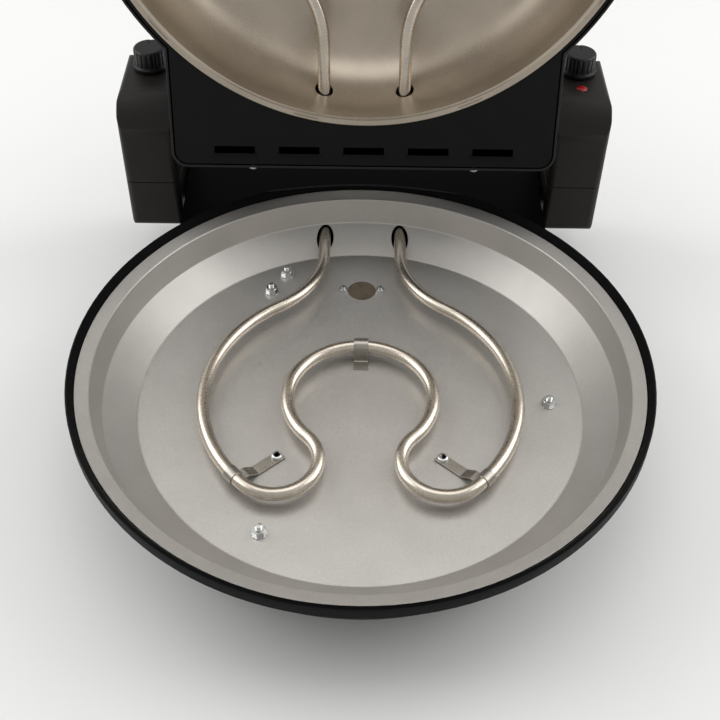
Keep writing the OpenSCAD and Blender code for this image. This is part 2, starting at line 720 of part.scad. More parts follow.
stud_top = floor_z + washer_t + nut_h + 3;
stud_head_h = 2.4;
earth_head_h = 1.5;
module stud(bottom, low_head_h) {
    disc(bottom, stud_top, stud_r);
    disc(bottom - low_head_h, bottom, 2 * stud_r);
}
module pan_studs() color("#c9cbcc") pan_frame() {
    for (p = stud_places) at(p) stud(bowl_z - seat_gap, stud_head_h);
    at(earth_place) stud(floor_z - pan_t - seat_gap, earth_head_h);
}
nut_edge = 0.6;
nut_clear = 0.05;
// A hex nut, turned by deg, with its upper corners taken off
module nut(af, h, bore_r, deg) difference() {
    intersection() {
        rotate([0, 0, deg]) cylinder(d = af / cos(30), h = h, $fn = 6);
        rotate_extrude() polygon([[0, 0], [af / 2 + nut_edge, 0], [af / 2 + nut_edge, h - nut_edge],
            [af / 2, h], [0, h]]);
    }
    disc(-over, h + over, bore_r + nut_clear);
}
module pan_nuts() color("#d4d6d7") pan_frame() for (p = concat(stud_places, [earth_place]))
    at(p, floor_z + washer_t) nut(nut_af, nut_h, stud_r, 90 * p.x / stud_pcd_r);
washer_teeth = 12;
tooth_r = 0.7;
module pan_washers() color("#b9bbbc") pan_frame() for (p = concat(stud_places, [earth_place]))
    at(p, floor_z) difference() {
        disc(0, washer_t, nut_af / 2 + 2 * tooth_r);
        disc(-over, washer_t + over, stud_r + screw_clear);
        for (i = [0 : washer_teeth - 1]) rotate([0, 0, 360 * i / washer_teeth])
            translate([nut_af / 2 + 2.4 * tooth_r, 0, 0]) disc(-over, washer_t + over, tooth_r);
    }
module pan_spacers() color("#c9cbcc") pan_frame() for (p = stud_places) at(p) difference() {
    disc(stud_boss_z, floor_z - pan_t, spacer_r);
    disc(stud_boss_z - over, floor_z - pan_t + over, stud_r + screw_clear);
}

// Overheat cut-out: a disc flush in the pan floor, with its body and two ears below
cutout_bolt_places = [for (s = [-1, 1]) [s * cutout_bolt_x, cutout_y]];
cutout_ear_z = floor_z - pan_t - seat_gap;
cutout_ear_r = 3.2;
cutout_ear_t = 1;
cutout_h = 11;
bolt_head_r = 2.6;
bolt_head_h = 1.9;
bolt_end = 1.4;
// A flat terminal blade that hangs from z = 0
blade_w = 6;
blade_h = 8;
blade_t = 0.8;
module blade() block([-blade_t / 2, -blade_w / 2, -blade_h], [blade_t / 2, blade_w / 2, over]);
module overheat_cutout() color("#8a7f74") pan_frame() difference() {
    union() {
        translate([0, cutout_y, 0]) {
            disc(cutout_ear_z - cutout_h, cutout_ear_z, cutout_r - over);
            disc(cutout_ear_z - cutout_ear_t, floor_z - part_gap, cutout_r);
            block([-cutout_bolt_x, -cutout_ear_r, cutout_ear_z - cutout_ear_t],
                [cutout_bolt_x, cutout_ear_r, cutout_ear_z]);
            for (s = [-1, 1]) translate([s * cutout_r / 2, 0, cutout_ear_z - cutout_h]) blade();
        }
        for (p = cutout_bolt_places) at(p) disc(cutout_ear_z - cutout_ear_t, cutout_ear_z, cutout_ear_r);
    }
    for (p = cutout_bolt_places) at(p)
        disc(cutout_ear_z - cutout_ear_t - over, cutout_ear_z + over, bolt_r + screw_clear);
}
module cutout_bolts() color("#c9cbcc") pan_frame() for (p = cutout_bolt_places)
    at(p, cutout_ear_z - cutout_ear_t) mirror([0, 0, 1]) screw(bolt_r,
        floor_z + bolt_nut_h + bolt_end - cutout_ear_z + cutout_ear_t, bolt_head_r, bolt_head_h);
module cutout_nuts() color("#d4d6d7") pan_frame() for (p = cutout_bolt_places)
    at(p, floor_z) nut(bolt_nut_af, bolt_nut_h, bolt_r, 0);

// Feet
foot_taper = 1.5;
module feet() color("#1c1c1c") pan_frame() for (p = foot_places) at(p) difference() {
    translate([0, 0, table_z]) cylinder(r1 = foot_r - foot_taper, r2 = foot_r, h = foot_h);
    disc(table_z - over, table_z + foot_h / 2, head_r + over);
    disc(table_z, bowl_z + over, screw_r + screw_clear);
}
module foot_screws() color("#c9cbcc") pan_frame() for (p = foot_places)
    at(p, table_z + foot_h / 2) mirror([0, 0, 1])
        screw(screw_r, foot_h / 2 + base_wall + screw_tail, head_r, head_h);

// Hinge towers, drawn on the right and mirrored to the left

// A tower's outer form less an inset, between two heights
module tower_form(inset, z0, z1) {
    y0 = tower_front + inset;
    y1 = tower_back - inset;
    x0 = tower_in + inset;
    x1 = tower_out - inset;
    top = tower_top - inset;
    bottom = tower_bottom + inset;
    rt = tower_round - inset;
    rb = tower_back_round - inset;
    re = tower_edge - inset;
    intersection() {
        along_x(x0, x1) rounded([[y0, bottom], [y1, bottom], [y1, top], [y0, top]], [re, re, rb, rt]);
        along_y(y0, y1) rounded([[x0, bottom], [x1, bottom], [x1, top], [x0, top]], [re, re, re, re]);
        along_z(z0, z1) rounded([[x0, y0], [x1, y0], [x1, y1], [x0, y1]], [re, re, re, re]);
    }
}
tower_mid = (tower_in + tower_out) / 2;
boss_r = 4;
bore_depth = 6;
thread_depth = 14;
post_t = 6;
post_x0 = tower_in + base_wall + part_gap;
post_x1 = post_x0 + post_t;
bush_r = pin_r + pin_clear + bush_wall;
post_r = bush_r + 3.5;
arm_d = 33;
arm_y0 = tower_back - boss_inset - arm_d;
arm_y1 = tower_back - boss_inset;
arm_z0 = tower_bottom + base_wall;
arm_z1 = deck_z - deck_skirt - part_gap;

// The post that carries a hinge bush, before it is trimmed to the cover's inside
module hinge_post() {
    block([tower_in, hinge_y - post_r, seam_z - over], [post_x1, hinge_y + post_r, hinge_z]);
    translate([0, hinge_y, hinge_z]) bar_x(tower_in, post_x1, post_r);
}
module tower_lower() difference() {
    union() {
        difference() {
            tower_form(0, tower_bottom, seam_z);
            tower_form(base_wall, tower_bottom, seam_z + over);
        }
        for (y = tower_screw_y) translate([tower_mid, y, 0]) disc(tower_bottom + over, seam_z, boss_r);
        intersection() {
            tower_form(base_wall / 2, tower_bottom, seam_z);
            block([tower_in, hinge_y - post_r, tower_bottom], [post_x1, hinge_y + post_r, seam_z]);
        }
        intersection() {
            tower_form(base_wall + part_gap, seam_z - over, tower_top);
            hinge_post();
        }
        block([neck_half, arm_y0, arm_z0], [tower_in + over, arm_y1, arm_z1]);
    }
    translate([0, hinge_y, hinge_z]) bar_x(post_x0 - over, post_x1 + over, bush_r + seat_gap / 2);
    block([neck_half - over, arm_y0 + base_wall, arm_z0 + base_wall],
        [tower_in + base_wall + over, arm_y1 - base_wall, arm_z1 - base_wall]);
    for (y = tower_screw_y) translate([tower_mid, y, 0]) {
        disc(tower_bottom - over, seam_z + over, screw_r + screw_clear);
        disc(tower_bottom - over, tower_bottom + bore_depth, head_r + screw_clear);
    }
}
module tower_cover() difference() {
    union() {
        difference() {
            tower_form(0, seam_z + part_gap, tower_top);
            tower_form(base_wall, seam_z, tower_top);
        }
        intersection() {
            for (y = tower_screw_y) translate([tower_mid, y, 0]) disc(seam_z + part_gap, tower_top, boss_r);
            tower_form(base_wall / 2, seam_z, tower_top);
        }
    }
    translate([0, hinge_y, hinge_z]) bar_x(tower_in - over, tower_in + base_wall + over, bush_r + part_gap);
    translate([tower_mid, knob_y, 0])
        disc(tower_top - base_wall - over, tower_top + over, collar_r + screw_clear);
    for (y = tower_screw_y) translate([tower_mid, y, 0])
        disc(seam_z - over, seam_z + thread_depth, screw_r + screw_clear);
}
collar_r = shaft_r + 2;
module left_tower_lower() color("#2a2522") pan_frame() mirror([1, 0, 0]) tower_lower();
module left_tower_cover() color("#2a2522") pan_frame() mirror([1, 0, 0]) tower_cover();
module right_tower_lower() color("#2a2522") pan_frame() tower_lower();
module right_tower_cover() color("#2a2522") pan_frame() difference() {
    tower_cover();
    at(lamp_place) disc(tower_top - base_wall - over, tower_top + over, lamp_r + screw_clear);
}
module tower_screws() color("#c9cbcc") pan_frame() both_sides() for (y = tower_screw_y)
    translate([tower_mid, y, tower_bottom + bore_depth]) mirror([0, 0, 1])
        screw(screw_r, seam_z - tower_bottom - bore_depth + thread_depth - over, head_r, head_h);

// Hinge: bushes in the tower posts, hollow pins fixed to brackets in the lid

bush_flange_x = tower_in - 1.7;
bush_flange_r = bush_r + 2;
module hinge_bush() difference() {
    union() {
        bar_x(bush_flange_x, tower_in - seat_gap, bush_flange_r);
        bar_x(tower_in - seat_gap, post_x1, bush_r);
    }
    bar_x(bush_flange_x - over, post_x1 + over, pin_r + pin_clear);
}
module hinge_bushes() color("#b59a5b") pan_frame() both_sides() translate([0, hinge_y, hinge_z]) hinge_bush();

bracket_x1 = block_half - plate_inset - plate_t - seat_gap;
bracket_x0 = bracket_x1 - bracket_t;
clip_t = 1.2;
clip_w = 2.2;
press = 0.02;
pin_head_t = 2;
pin_head_w = 3;
pin_x1 = post_x1 + part_gap + clip_t + over;
module hinge_pins() color("#a9abad") lid_frame() both_sides() translate([0, hinge_y, pin_z]) difference() {
    union() {
        bar_x(bracket_x0 - seat_gap - pin_head_t, bracket_x0 - seat_gap, pin_r + pin_head_w);
        bar_x(bracket_x0 - seat_gap, pin_x1, pin_r);
    }
    bar_x(bracket_x0 - pin_head_t - over, pin_x1 + over, pin_hole_r);
}
module pin_clips() color("#8f9193") lid_frame() both_sides() translate([0, hinge_y, pin_z]) difference() {
    bar_x(post_x1 + part_gap, post_x1 + part_gap + clip_t, pin_r + clip_w);
    bar_x(post_x1, pin_x1 + over, pin_r + press);
}
// A plate against the lid's cheek, with a foot on the lid plate
bracket_reach = 22;
bracket_y0 = hinge_y - bracket_reach;
bracket_y1 = block_back - block_edge - over;
bracket_eye_r = pin_r + 6;
bracket_foot_w = 14;
bracket_foot_z = plate_z + plate_t + seat_gap;
module hinge_brackets() color("#9a9c9e") lid_frame() both_sides() difference() {
    union() {
        block([bracket_x0, bracket_y0, bracket_foot_z], [bracket_x1, bracket_y1, pin_z]);
        translate([0, hinge_y, pin_z]) bar_x(bracket_x0, bracket_x1, bracket_eye_r);
        block([bracket_x0 - bracket_foot_w, bracket_y0, bracket_foot_z],
            [bracket_x1, bracket_y1, bracket_foot_z + bracket_t]);
    }
    translate([0, hinge_y, pin_z]) bar_x(bracket_x0 - over, bracket_x1 + over, pin_r + press);
    translate([0, (bracket_y0 + bracket_y1) / 2, pin_z / 2])
        bar_x(bracket_x0 - over, bracket_x1 + over, bracket_eye_r / 2);
}
module lid_lead() color("#3b3b3b") pan_frame() translate([0, hinge_y, hinge_z])
    bar_x(part_gap + boss_r - tower_mid, bracket_foot_w - bracket_x0, lead_r);

// Controls

lamp_place = [tower_mid, tower_front + tower_round + lamp_r];
shaft_top = tower_top + knob_h - 3;
control_top = tower_top - base_wall - seat_gap;
control_d = control_w - 6;
shaft_well = 4;
tab_gap = 6;
module control_body() translate([tower_mid, knob_y, 0]) difference() {
    union() {
        block([-control_w / 2, -control_w / 2, control_top - control_h],
            [control_w / 2, control_d - control_w / 2, control_top]);
        disc(control_top - over, tower_top + knob_lift / 2, collar_r);
        for (s = [-1, 1]) translate([s * tab_gap, 0, control_top - control_h]) blade();
    }
    disc(control_top - control_h + shaft_well, tower_top + over, shaft_r + pin_clear);
}
module control_shaft() translate([tower_mid, knob_y, 0])
    disc(control_top - control_h + shaft_well + part_gap, shaft_top, shaft_r);
// A fluted knob with a skirt below the grip and a pointer groove across its top
knob_lift = 1;
skirt_h = 2;
grip_r = knob_r - 1.4;
knob_round = 2;
flute_r = 1;
pointer_w = 1.2;
pointer_depth = 0.8;
module control_knob() translate([tower_mid, knob_y, tower_top + knob_lift]) difference() {
    rotate_extrude() rounded([[0, 0], [knob_r, 0], [knob_r, skirt_h], [grip_r, skirt_h + part_gap],
        [grip_r, knob_h], [0, knob_h]], [0, 0, 0, 0, knob_round, 0]);
    for (i = [0 : flutes - 1]) rotate([0, 0, 360 * (i + 0.5) / flutes])
        translate([grip_r + flute_r / 2, 0, 0]) disc(skirt_h + over, knob_h + over, flute_r);
    disc(-over, shaft_top - tower_top - knob_lift + part_gap, shaft_r + press);
    block([-pointer_w / 2, grip_r / 3, knob_h - pointer_depth], [pointer_w / 2, knob_r, knob_h + over]);
}
module thermostat_body() color("#d8d2c4") pan_frame() control_body();
module timer_body() color("#c8c8c4") pan_frame() mirror([1, 0, 0]) control_body();
module thermostat_shaft() color("#b0b2b4") pan_frame() control_shaft();
module timer_shaft() color("#b0b2b4") pan_frame() mirror([1, 0, 0]) control_shaft();
module thermostat_knob() color("#191919") pan_frame() control_knob();
module timer_knob() color("#191919") pan_frame() mirror([1, 0, 0]) control_knob();
lamp_body_h = 9;
lamp_flange_w = 1.2;
module pilot_lamp() color("#b3241c") pan_frame() at(lamp_place) {
    disc(control_top - lamp_body_h, control_top, lamp_r + lamp_flange_w);
    disc(control_top, tower_top, lamp_r);
    translate([0, 0, tower_top]) cylinder(r1 = lamp_r, r2 = lamp_r / 2, h = lamp_r / 3);
}

// Cord outlet, terminals and wires

gland_z = (inside_z + tower_bottom) / 2 + 4;
gland_y0 = neck_back - base_wall - 7;
gland_y1 = neck_back + 6;
gland_flange_t = 3;
gland_flange_w = 2.5;
gland_lock_w = 1;
module cord_gland() color("#202020") pan_frame() translate([gland_x, 0, gland_z]) difference() {
    union() {
        bar_y(gland_y0, neck_back + gland_flange_t, gland_r);
        bar_y(neck_back + seat_gap, neck_back + gland_flange_t, gland_r + gland_flange_w);
        bar_y(neck_back, gland_y1, gland_r - gland_lock_w);
        bar_y(neck_back - base_wall - gland_flange_t, neck_back - base_wall - seat_gap,
            gland_r + gland_lock_w);
    }
    bar_y(gland_y0 - over, gland_y1 + over, gland_bore_r);
}
block_w = 36;
block_d = 18;
block_t = 14;
pole_pitch = 12;
pole_r = 2.6;
block_gap = 5;
block_place = [0, leg_end + bead_l + tab_l + block_gap + block_d / 2];
module terminal_block() color("#e6e2d8") pan_frame() at(block_place) difference() {
    block([-block_w / 2, -block_d / 2, inside_z], [block_w / 2, block_d / 2, inside_z + block_t]);
    for (i = [-1 : 1]) translate([i * pole_pitch, 0, 0])
        disc(inside_z + block_t / 2, inside_z + block_t + over, pole_r);
}
wire_r = 1.3;
module base_wires() color("#a33a2c") pan_frame() for (s = [-1, 1])
    rod([s * leg_x, leg_end + bead_l + tab_l + wire_r, tube_z],
        [s * pole_pitch, block_place.y - block_d / 2 - wire_r, inside_z + block_t / 2], wire_r);

// Lid

// The lid's outline seen from above, less an inset
module block_outline(inset) rounded([[inset - block_half, 0], [block_half - inset, 0],
    [block_half - inset, block_back - inset], [inset - block_half, block_back - inset]],
    [0, 0, block_edge - inset, block_edge - inset]);
module lid_outline(inset) {
    circle(r = rim_r - inset, $fn = 180);
    block_outline(inset);
}
// The dome and the rear block, less an inset, from a given bottom
module lid_form(inset, bottom) {
    out_r = rim_r - inset;
    top = block_h - inset;
    meet = shoulder_c + (shoulder_r - inset) * [sin(crown_deg), cos(crown_deg)];
    rotate_extrude($fn = 180) {
        polygon([[0, bottom], [out_r, bottom], [out_r, shoulder_c.y], shoulder_c, meet, [0, meet.y]]);
        intersection() {
            translate(shoulder_c) circle(r = shoulder_r - inset);
            translate(shoulder_c) square(2 * shoulder_r);
        }
        intersection() {
            translate([0, crown_z]) circle(r = crown_r - inset);
            translate([0, shoulder_c.y]) square([meet.x, lid_h]);
        }
    }
    half = block_half - inset;
    back = block_back - inset;
    re = block_edge - inset;
    intersection() {
        along_x(-half, half) rounded([[0, bottom], [back, bottom], [back, top], [0, top]],
            [0, 0, block_round - inset, 0]);
        along_y(-over, back) rounded([[-half, bottom], [half, bottom], [half, top], [-half, top]],
            [0, 0, re, re]);
        along_z(bottom, top) block_outline(inset);
    }
}
module lid_shell() color("#1b1c1c") lid_frame() difference() {
    lid_form(0, 0);
    lid_form(lid_wall, -over);
    both_sides() translate([0, hinge_y, pin_z])
        bar_x(block_half - lid_wall - over, block_half + over, pin_r + part_gap);
    for (p = handle_screw_places) rotate([0, 0, p.x]) translate([0, 0, p.y])
        bar_y(-rim_r - over, -rim_r + handle_screw_l, screw_r + screw_clear);
    both_sides() plate_screw_hole();
}

// Two screws hold the plate's turned edge to the lid's back wall
plate_screw_x = 71;
plate_screw_z = 4.4;
module plate_screw_hole() translate([plate_screw_x, 0, plate_screw_z])
    bar_y(block_back - plate_inset - 2 * plate_t, block_back + over, bolt_r + screw_clear);
module plate_screws() color("#8f9193") lid_frame() both_sides()
    translate([plate_screw_x, block_back, plate_screw_z]) rotate([-90, 0, 0])
        screw(bolt_r, plate_inset + plate_t + screw_tail, bolt_head_r, bolt_head_h);

// The wedge of a louvre's lip below the plate's face, less a wall
module louvre_lip_form(wall) along_x(-louvre_l / 2 + wall, louvre_l / 2 - wall) polygon(
    [[louvre_w / 2 - wall, plate_z + plate_t + wall], [louvre_w / 2 - wall, plate_z - louvre_lip + wall],
    [louvre_w / 2, plate_z - louvre_lip + wall], [louvre_w / 2 + louvre_run, plate_z + wall],
    [louvre_w / 2 + louvre_run, plate_z + plate_t + wall]]);
module lid_plate() color("#131313") lid_frame() difference() {
    union() {
        difference() {
            translate([0, 0, plate_z]) linear_extrude(plate_turn) lid_outline(plate_inset);
            translate([0, 0, plate_z + plate_t]) linear_extrude(plate_turn)
                lid_outline(plate_inset + plate_t);
            disc(-over, plate_z + plate_t + over, ring_r - ring_w + plate_t + seat_gap);
        }
        louvre_row() louvre_lip_form(0);
    }
    louvre_row() louvre_lip_form(plate_t);
    louvre_row() block([-louvre_l / 2 + plate_t, -louvre_w / 2, plate_z - louvre_lip - over],
        [louvre_l / 2 - plate_t, louvre_w / 2, plate_z + plate_t + over]);
    both_sides() plate_screw_hole();
}
module louvre_row() for (i = [0 : louvres - 1])
    translate([(i - (louvres - 1) / 2) * louvre_pitch, block_back - louvre_inset, 0]) children();

dish_lean = 5.5;
dish_step = dish_h - dish_round - over;
ring_slot_turn = 0.35;
ring_in = ring_r - ring_w;
ring_z = plate_z - plate_t - seat_gap;
dish_line = [[ring_in, ring_z], [ring_in - dish_lean, dish_step], [ring_in - dish_lean, dish_h], [0, dish_h]];
dish_outer = shifted(dish_line, -plate_t);
module dish_section(line, r, bottom) rounded(concat([[0, bottom], [line[0].x, bottom]],
    [for (i = [1 : 3]) line[i]]), [0, 0, 0, r, 0]);
module lid_reflector() color("#b7b4ae") lid_frame() difference() {
    rotate_extrude($fn = 180) difference() {
        union() {
            dish_section(dish_outer, dish_round + plate_t, ring_z);
            translate([ring_in - plate_t, ring_z]) square([ring_w + plate_t - bead_r, plate_t]);
            translate([ring_r - bead_r, ring_z + plate_t - bead_r]) circle(r = bead_r);
        }
        dish_section(dish_line, dish_round, ring_z);
        translate([0, ring_z - over]) square([ring_in, over]);
    }
    leg_holes(ring_in - dish_lean - dish_round, rim_r, upper_tube_z);
    for (i = [0 : ring_slots - 1]) rotate([0, 0, 90 + 360 * (i + ring_slot_turn) / ring_slots])
        translate([ring_r - ring_w / 2, 0, 0]) rotate([0, 0, 90])
            slot(ring_slot_l, ring_slot_w, -over, plate_z + over);
    for (p = hanger_places) at(p) disc(dish_h - over, dish_h + plate_t + over, screw_r + screw_clear);
}
module upper_heater() color("#968f85") lid_frame() translate([0, 0, upper_tube_z]) heater_tube(leg_end);
module upper_heater_ends() color("#ded8cb") lid_frame() translate([0, 0, upper_tube_z]) heater_ends();

// Hangers hold the upper tube below the dish: a ring round the tube, an upright and a foot
hanger_foot = 12;
hanger_degs = [180 + clamp_deg, -clamp_deg];
hanger_places = concat([for (a = hanger_degs) (sweep_r - hanger_foot) * [cos(a), sin(a)] - [0, sweep_y]],
    [[0, arch_top - hanger_foot]]);
module hanger(bend_r) {
    bore = ring_bore(clamp_w, bend_r);
    top = dish_h - upper_tube_z;
    difference() {
        union() {
            bar_y(-clamp_w / 2, clamp_w / 2, bore + clamp_t);
            along_y(-clamp_w / 2, clamp_w / 2) bent_sheet([[clamp_t / 2, bore], [clamp_t / 2, top],
                [-hanger_foot - clamp_w / 2, top]], [sheet_bend], clamp_t);
        }
        bar_y(-clamp_w, clamp_w, bore);
        translate([-hanger_foot, 0, 0]) disc(top - clamp_t - over, top + over, screw_r + screw_clear);
    }
}
module heater_hangers() color("#8e8a84") lid_frame() {
    for (a = hanger_degs) at([0, -sweep_y], upper_tube_z) rotate([0, 0, a])
        translate([sweep_r, 0, 0]) hanger(sweep_r);
    at([0, arch_top], upper_tube_z) rotate([0, 0, 90]) hanger(arch_r);
}
module hanger_screws() color("#c9cbcc") lid_frame() for (p = hanger_places)
    at(p, dish_h - clamp_t) mirror([0, 0, 1]) screw(screw_r, clamp_t + plate_t + screw_tail, head_r, head_h);

// Handle: a bar that follows the lid's edge, carried by two arms

handle_in = rim_r + handle_gap;
handle_out = handle_in + handle_t;
handle_arm_deg = 5;
handle_edge = 4;
handle_back_edge = 1.5;
arm_overlap = 6;
arm_reach = 12;
handle_screw_l = 20;
handle_screw_y = 9;
handle_screw_places = [for (s = [-1, 1]) [s * (handle_deg - handle_arm_deg / 2), handle_z + handle_h / 2]];
module ring_part(r0, r1, z0, z1, a0, a1) rotate([0, 0, a0 - 90]) rotate_extrude(angle = a1 - a0, $fn = 120)
    rounded([[r0, z0], [r1, z0], [r1, z1], [r0, z1]],
        [handle_back_edge, handle_edge, handle_edge, handle_back_edge]);
module lid_handle() color("#1d1d1d") lid_frame() difference() {
    union() {
        ring_part(handle_in, handle_out, handle_z, handle_z + handle_h, -handle_deg, handle_deg);
        for (p = handle_screw_places) ring_part(rim_r - arm_reach, handle_in + arm_overlap, handle_z,
            handle_z + handle_h, p.x - handle_arm_deg / 2, p.x + handle_arm_deg / 2);
    }
    lid_form(-seat_gap, -over);
    for (p = handle_screw_places) rotate([0, 0, p.x]) translate([0, 0, p.y])
        bar_y(-rim_r - arm_reach, -rim_r + handle_screw_l, screw_r + screw_clear);
}
module handle_screws() color("#c9cbcc") lid_frame() for (p = handle_screw_places)
    rotate([0, 0, p.x]) translate([0, -rim_r + handle_screw_y, p.y]) rotate([-90, 0, 0])
        screw(screw_r, handle_screw_l, head_r, head_h);

base_shell();
bottom_cover();
rear_deck();
base_pan();
lower_heater();
lower_heater_ends();
heater_bracket();
left_heater_clamp();
right_heater_clamp();
middle_heater_clamp();
clamp_screws();
pan_studs();
pan_nuts();
pan_washers();
pan_spacers();
overheat_cutout();
cutout_bolts();
cutout_nuts();
feet();
foot_screws();
left_tower_lower();
left_tower_cover();
right_tower_lower();
right_tower_cover();
tower_screws();
hinge_bushes();
thermostat_body();
timer_body();
pilot_lamp();
cord_gland();
terminal_block();
base_wires();
lid_lead();
thermostat_shaft();
thermostat_knob();
timer_shaft();
timer_knob();
lid_shell();
lid_plate();
plate_screws();
lid_reflector();
upper_heater();
upper_heater_ends();
heater_hangers();
hanger_screws();
hinge_brackets();
hinge_pins();
pin_clips();
lid_handle();
handle_screws();
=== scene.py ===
# Electric pizza maker: a black bowl base with a heated pan, hinge towers that carry the
# controls, and a dome lid with a heater of its own, standing open. Metres, +Z up.
import json
import math

import bmesh
import bpy
from mathutils import Matrix, Vector


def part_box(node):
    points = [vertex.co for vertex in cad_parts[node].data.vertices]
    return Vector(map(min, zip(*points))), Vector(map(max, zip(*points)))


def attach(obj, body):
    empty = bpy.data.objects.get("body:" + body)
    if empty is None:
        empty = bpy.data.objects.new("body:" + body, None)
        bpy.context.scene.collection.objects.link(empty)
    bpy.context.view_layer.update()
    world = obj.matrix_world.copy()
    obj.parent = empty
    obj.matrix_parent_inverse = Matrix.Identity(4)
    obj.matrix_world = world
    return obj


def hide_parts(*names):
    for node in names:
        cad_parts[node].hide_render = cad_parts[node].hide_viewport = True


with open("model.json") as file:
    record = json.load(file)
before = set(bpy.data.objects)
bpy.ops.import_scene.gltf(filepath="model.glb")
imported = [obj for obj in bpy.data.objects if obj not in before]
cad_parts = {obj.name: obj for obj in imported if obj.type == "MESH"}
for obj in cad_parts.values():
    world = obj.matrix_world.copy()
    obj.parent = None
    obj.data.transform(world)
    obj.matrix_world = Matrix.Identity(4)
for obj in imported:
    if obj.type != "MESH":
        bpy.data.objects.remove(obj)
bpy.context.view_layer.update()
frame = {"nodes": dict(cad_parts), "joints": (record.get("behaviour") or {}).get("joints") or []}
nodes = frame["nodes"]
mm = 0.001


# ---- Bowl base ---------------------------------------------------------------------------
# One black moulding of heat-resistant plastic: a bowl whose rim carries the pan's flange on a
# ledge and slopes up from it to a thin lip, and a housing behind it for the terminals.

pan_low, pan_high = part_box("base_pan")
pan_axis_y = (pan_low.y + pan_high.y) / 2
flange_z = pan_high.z
in_base = Matrix.Translation((0, pan_axis_y, flange_z))


def seen(red, green, blue):
    """A colour given as it looks on screen, turned into the shader's linear values."""
    def linear(level):
        level /= 255
        return level / 12.92 if level < 0.04045 else ((level + 0.055) / 1.055) ** 2.4
    return (linear(red), linear(green), linear(blue), 1)


def finish(name, colour, roughness, metallic=0.0, mottle=(45, 0.12), grain=(1100, 0.08),
           speckle=0.0, roughness_swing=0.07, bump=0.02, **sockets):
    """A surface with a soft mottle in its colour, and a fine grain in its gloss and relief."""
    material = bpy.data.materials.new(name)
    material["slot"] = name
    material.use_nodes = True
    tree = material.node_tree
    shader = tree.nodes["Principled BSDF"]
    place = tree.nodes.new("ShaderNodeTexCoord")

    def noise(scale, detail):
        node = tree.nodes.new("ShaderNodeTexNoise")
        node.inputs["Scale"].default_value = scale
        node.inputs["Detail"].default_value = detail
        tree.links.new(place.outputs["Object"], node.inputs["Vector"])
        return node.outputs["Fac"]

    def ramp(value, low, high):
        node = tree.nodes.new("ShaderNodeValToRGB")
        ends = node.color_ramp.elements
        ends[0].position, ends[1].position = 0.3, 0.7
        ends[0].color, ends[1].color = low, high
        tree.links.new(value, node.inputs["Fac"])
        return node.outputs["Color"]

    low, high = ([min(1, level * share) for level in colour[:3]] + [1]
                 for share in (1 - mottle[1], 1 + mottle[1]))
    tone = ramp(noise(mottle[0], 3), low, high)
    fine = noise(grain[0], 2)
    if speckle:
        both = tree.nodes.new("ShaderNodeMix")
        both.data_type, both.blend_type = "RGBA", "MULTIPLY"
        both.inputs["Factor"].default_value = 1
        tree.links.new(tone, both.inputs["A"])
        tree.links.new(ramp(fine, [1 - speckle] * 3 + [1], [1] * 4), both.inputs["B"])
        tone = both.outputs["Result"]
    tree.links.new(tone, shader.inputs["Base Color"])

    gloss = tree.nodes.new("ShaderNodeMapRange")
    gloss.inputs["From Min"].default_value = 0.3
    gloss.inputs["From Max"].default_value = 0.7
    gloss.inputs["To Min"].default_value = roughness - roughness_swing
    gloss.inputs["To Max"].default_value = roughness + roughness_swing
    tree.links.new(fine, gloss.inputs["Value"])
    tree.links.new(gloss.outputs["Result"], shader.inputs["Roughness"])
    relief = tree.nodes.new("ShaderNodeBump")
    relief.inputs["Strength"].default_value = grain[1]
    relief.inputs["Distance"].default_value = bump * mm
    tree.links.new(fine, relief.inputs["Height"])
    tree.links.new(relief.outputs["Normal"], shader.inputs["Normal"])
    shader.inputs["Metallic"].default_value = metallic
    for socket, value in sockets.items():
        shader.inputs[socket.replace("_", " ")].default_value = value
    return material


def repaint(material, *names):
    """Gives carried-over CAD nodes their finish."""
    for name in names:
        nodes[name].data.materials.clear()
        nodes[name].data.materials.append(material)


def soften(bm, width, sharper_than=35):
    """Rounds the edges that turn by more than an angle."""
    limit = math.radians(sharper_than)
    edges = [e for e in bm.edges if len(e.link_faces) == 2 and e.calc_face_angle(0) > limit]
    bmesh.ops.bevel(bm, geom=edges, offset=width, offset_type="OFFSET", segments=2,
                    profile=0.5, affect="EDGES", material=-1)
    return bm


def piece(name, bm, material, body, place=in_base, smooth_to=40, stands_for=()):
    """A finished piece: closed seams, outward faces, its place in its mesh."""
    bmesh.ops.remove_doubles(bm, verts=bm.verts, dist=1e-6)
    bmesh.ops.recalc_face_normals(bm, faces=bm.faces)
    bmesh.ops.transform(bm, matrix=place, verts=bm.verts)
    mesh = bpy.data.meshes.new(name)
    bm.to_mesh(mesh)
    bm.free()
    mesh.shade_smooth()
    mesh.set_sharp_from_angle(angle=math.radians(smooth_to))
    mesh.materials.append(material)
    made = bpy.data.objects.new(name, mesh)
    bpy.context.scene.collection.objects.link(made)
    level = made.modifiers.new("level_faces", "WEIGHTED_NORMAL")
    level.keep_sharp = True
    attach(made, body)
    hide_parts(*stands_for)
    return made


def copied(node, weld=0.001 * mm):
    """A bmesh copy of a CAD solid, with points nearer than a distance made one."""
    bm = bmesh.new()
    bm.from_mesh(nodes[node].data)
    bmesh.ops.remove_doubles(bm, verts=bm.verts, dist=weld)
    return bm


def softened(name, node, material, body, width, sharper_than=35, join=True,
             weld=0.001 * mm):
    """A copy of a CAD solid with its flat faces joined and its sharp edges rounded."""
    bm = copied(node, weld)
    if join:
        bmesh.ops.dissolve_limit(bm, angle_limit=math.radians(0.2), verts=bm.verts,
                                 edges=bm.edges)
    soften(bm, width, sharper_than)
    return piece(name, bm, material, body, place=nodes[node].matrix_world, stands_for=[node])


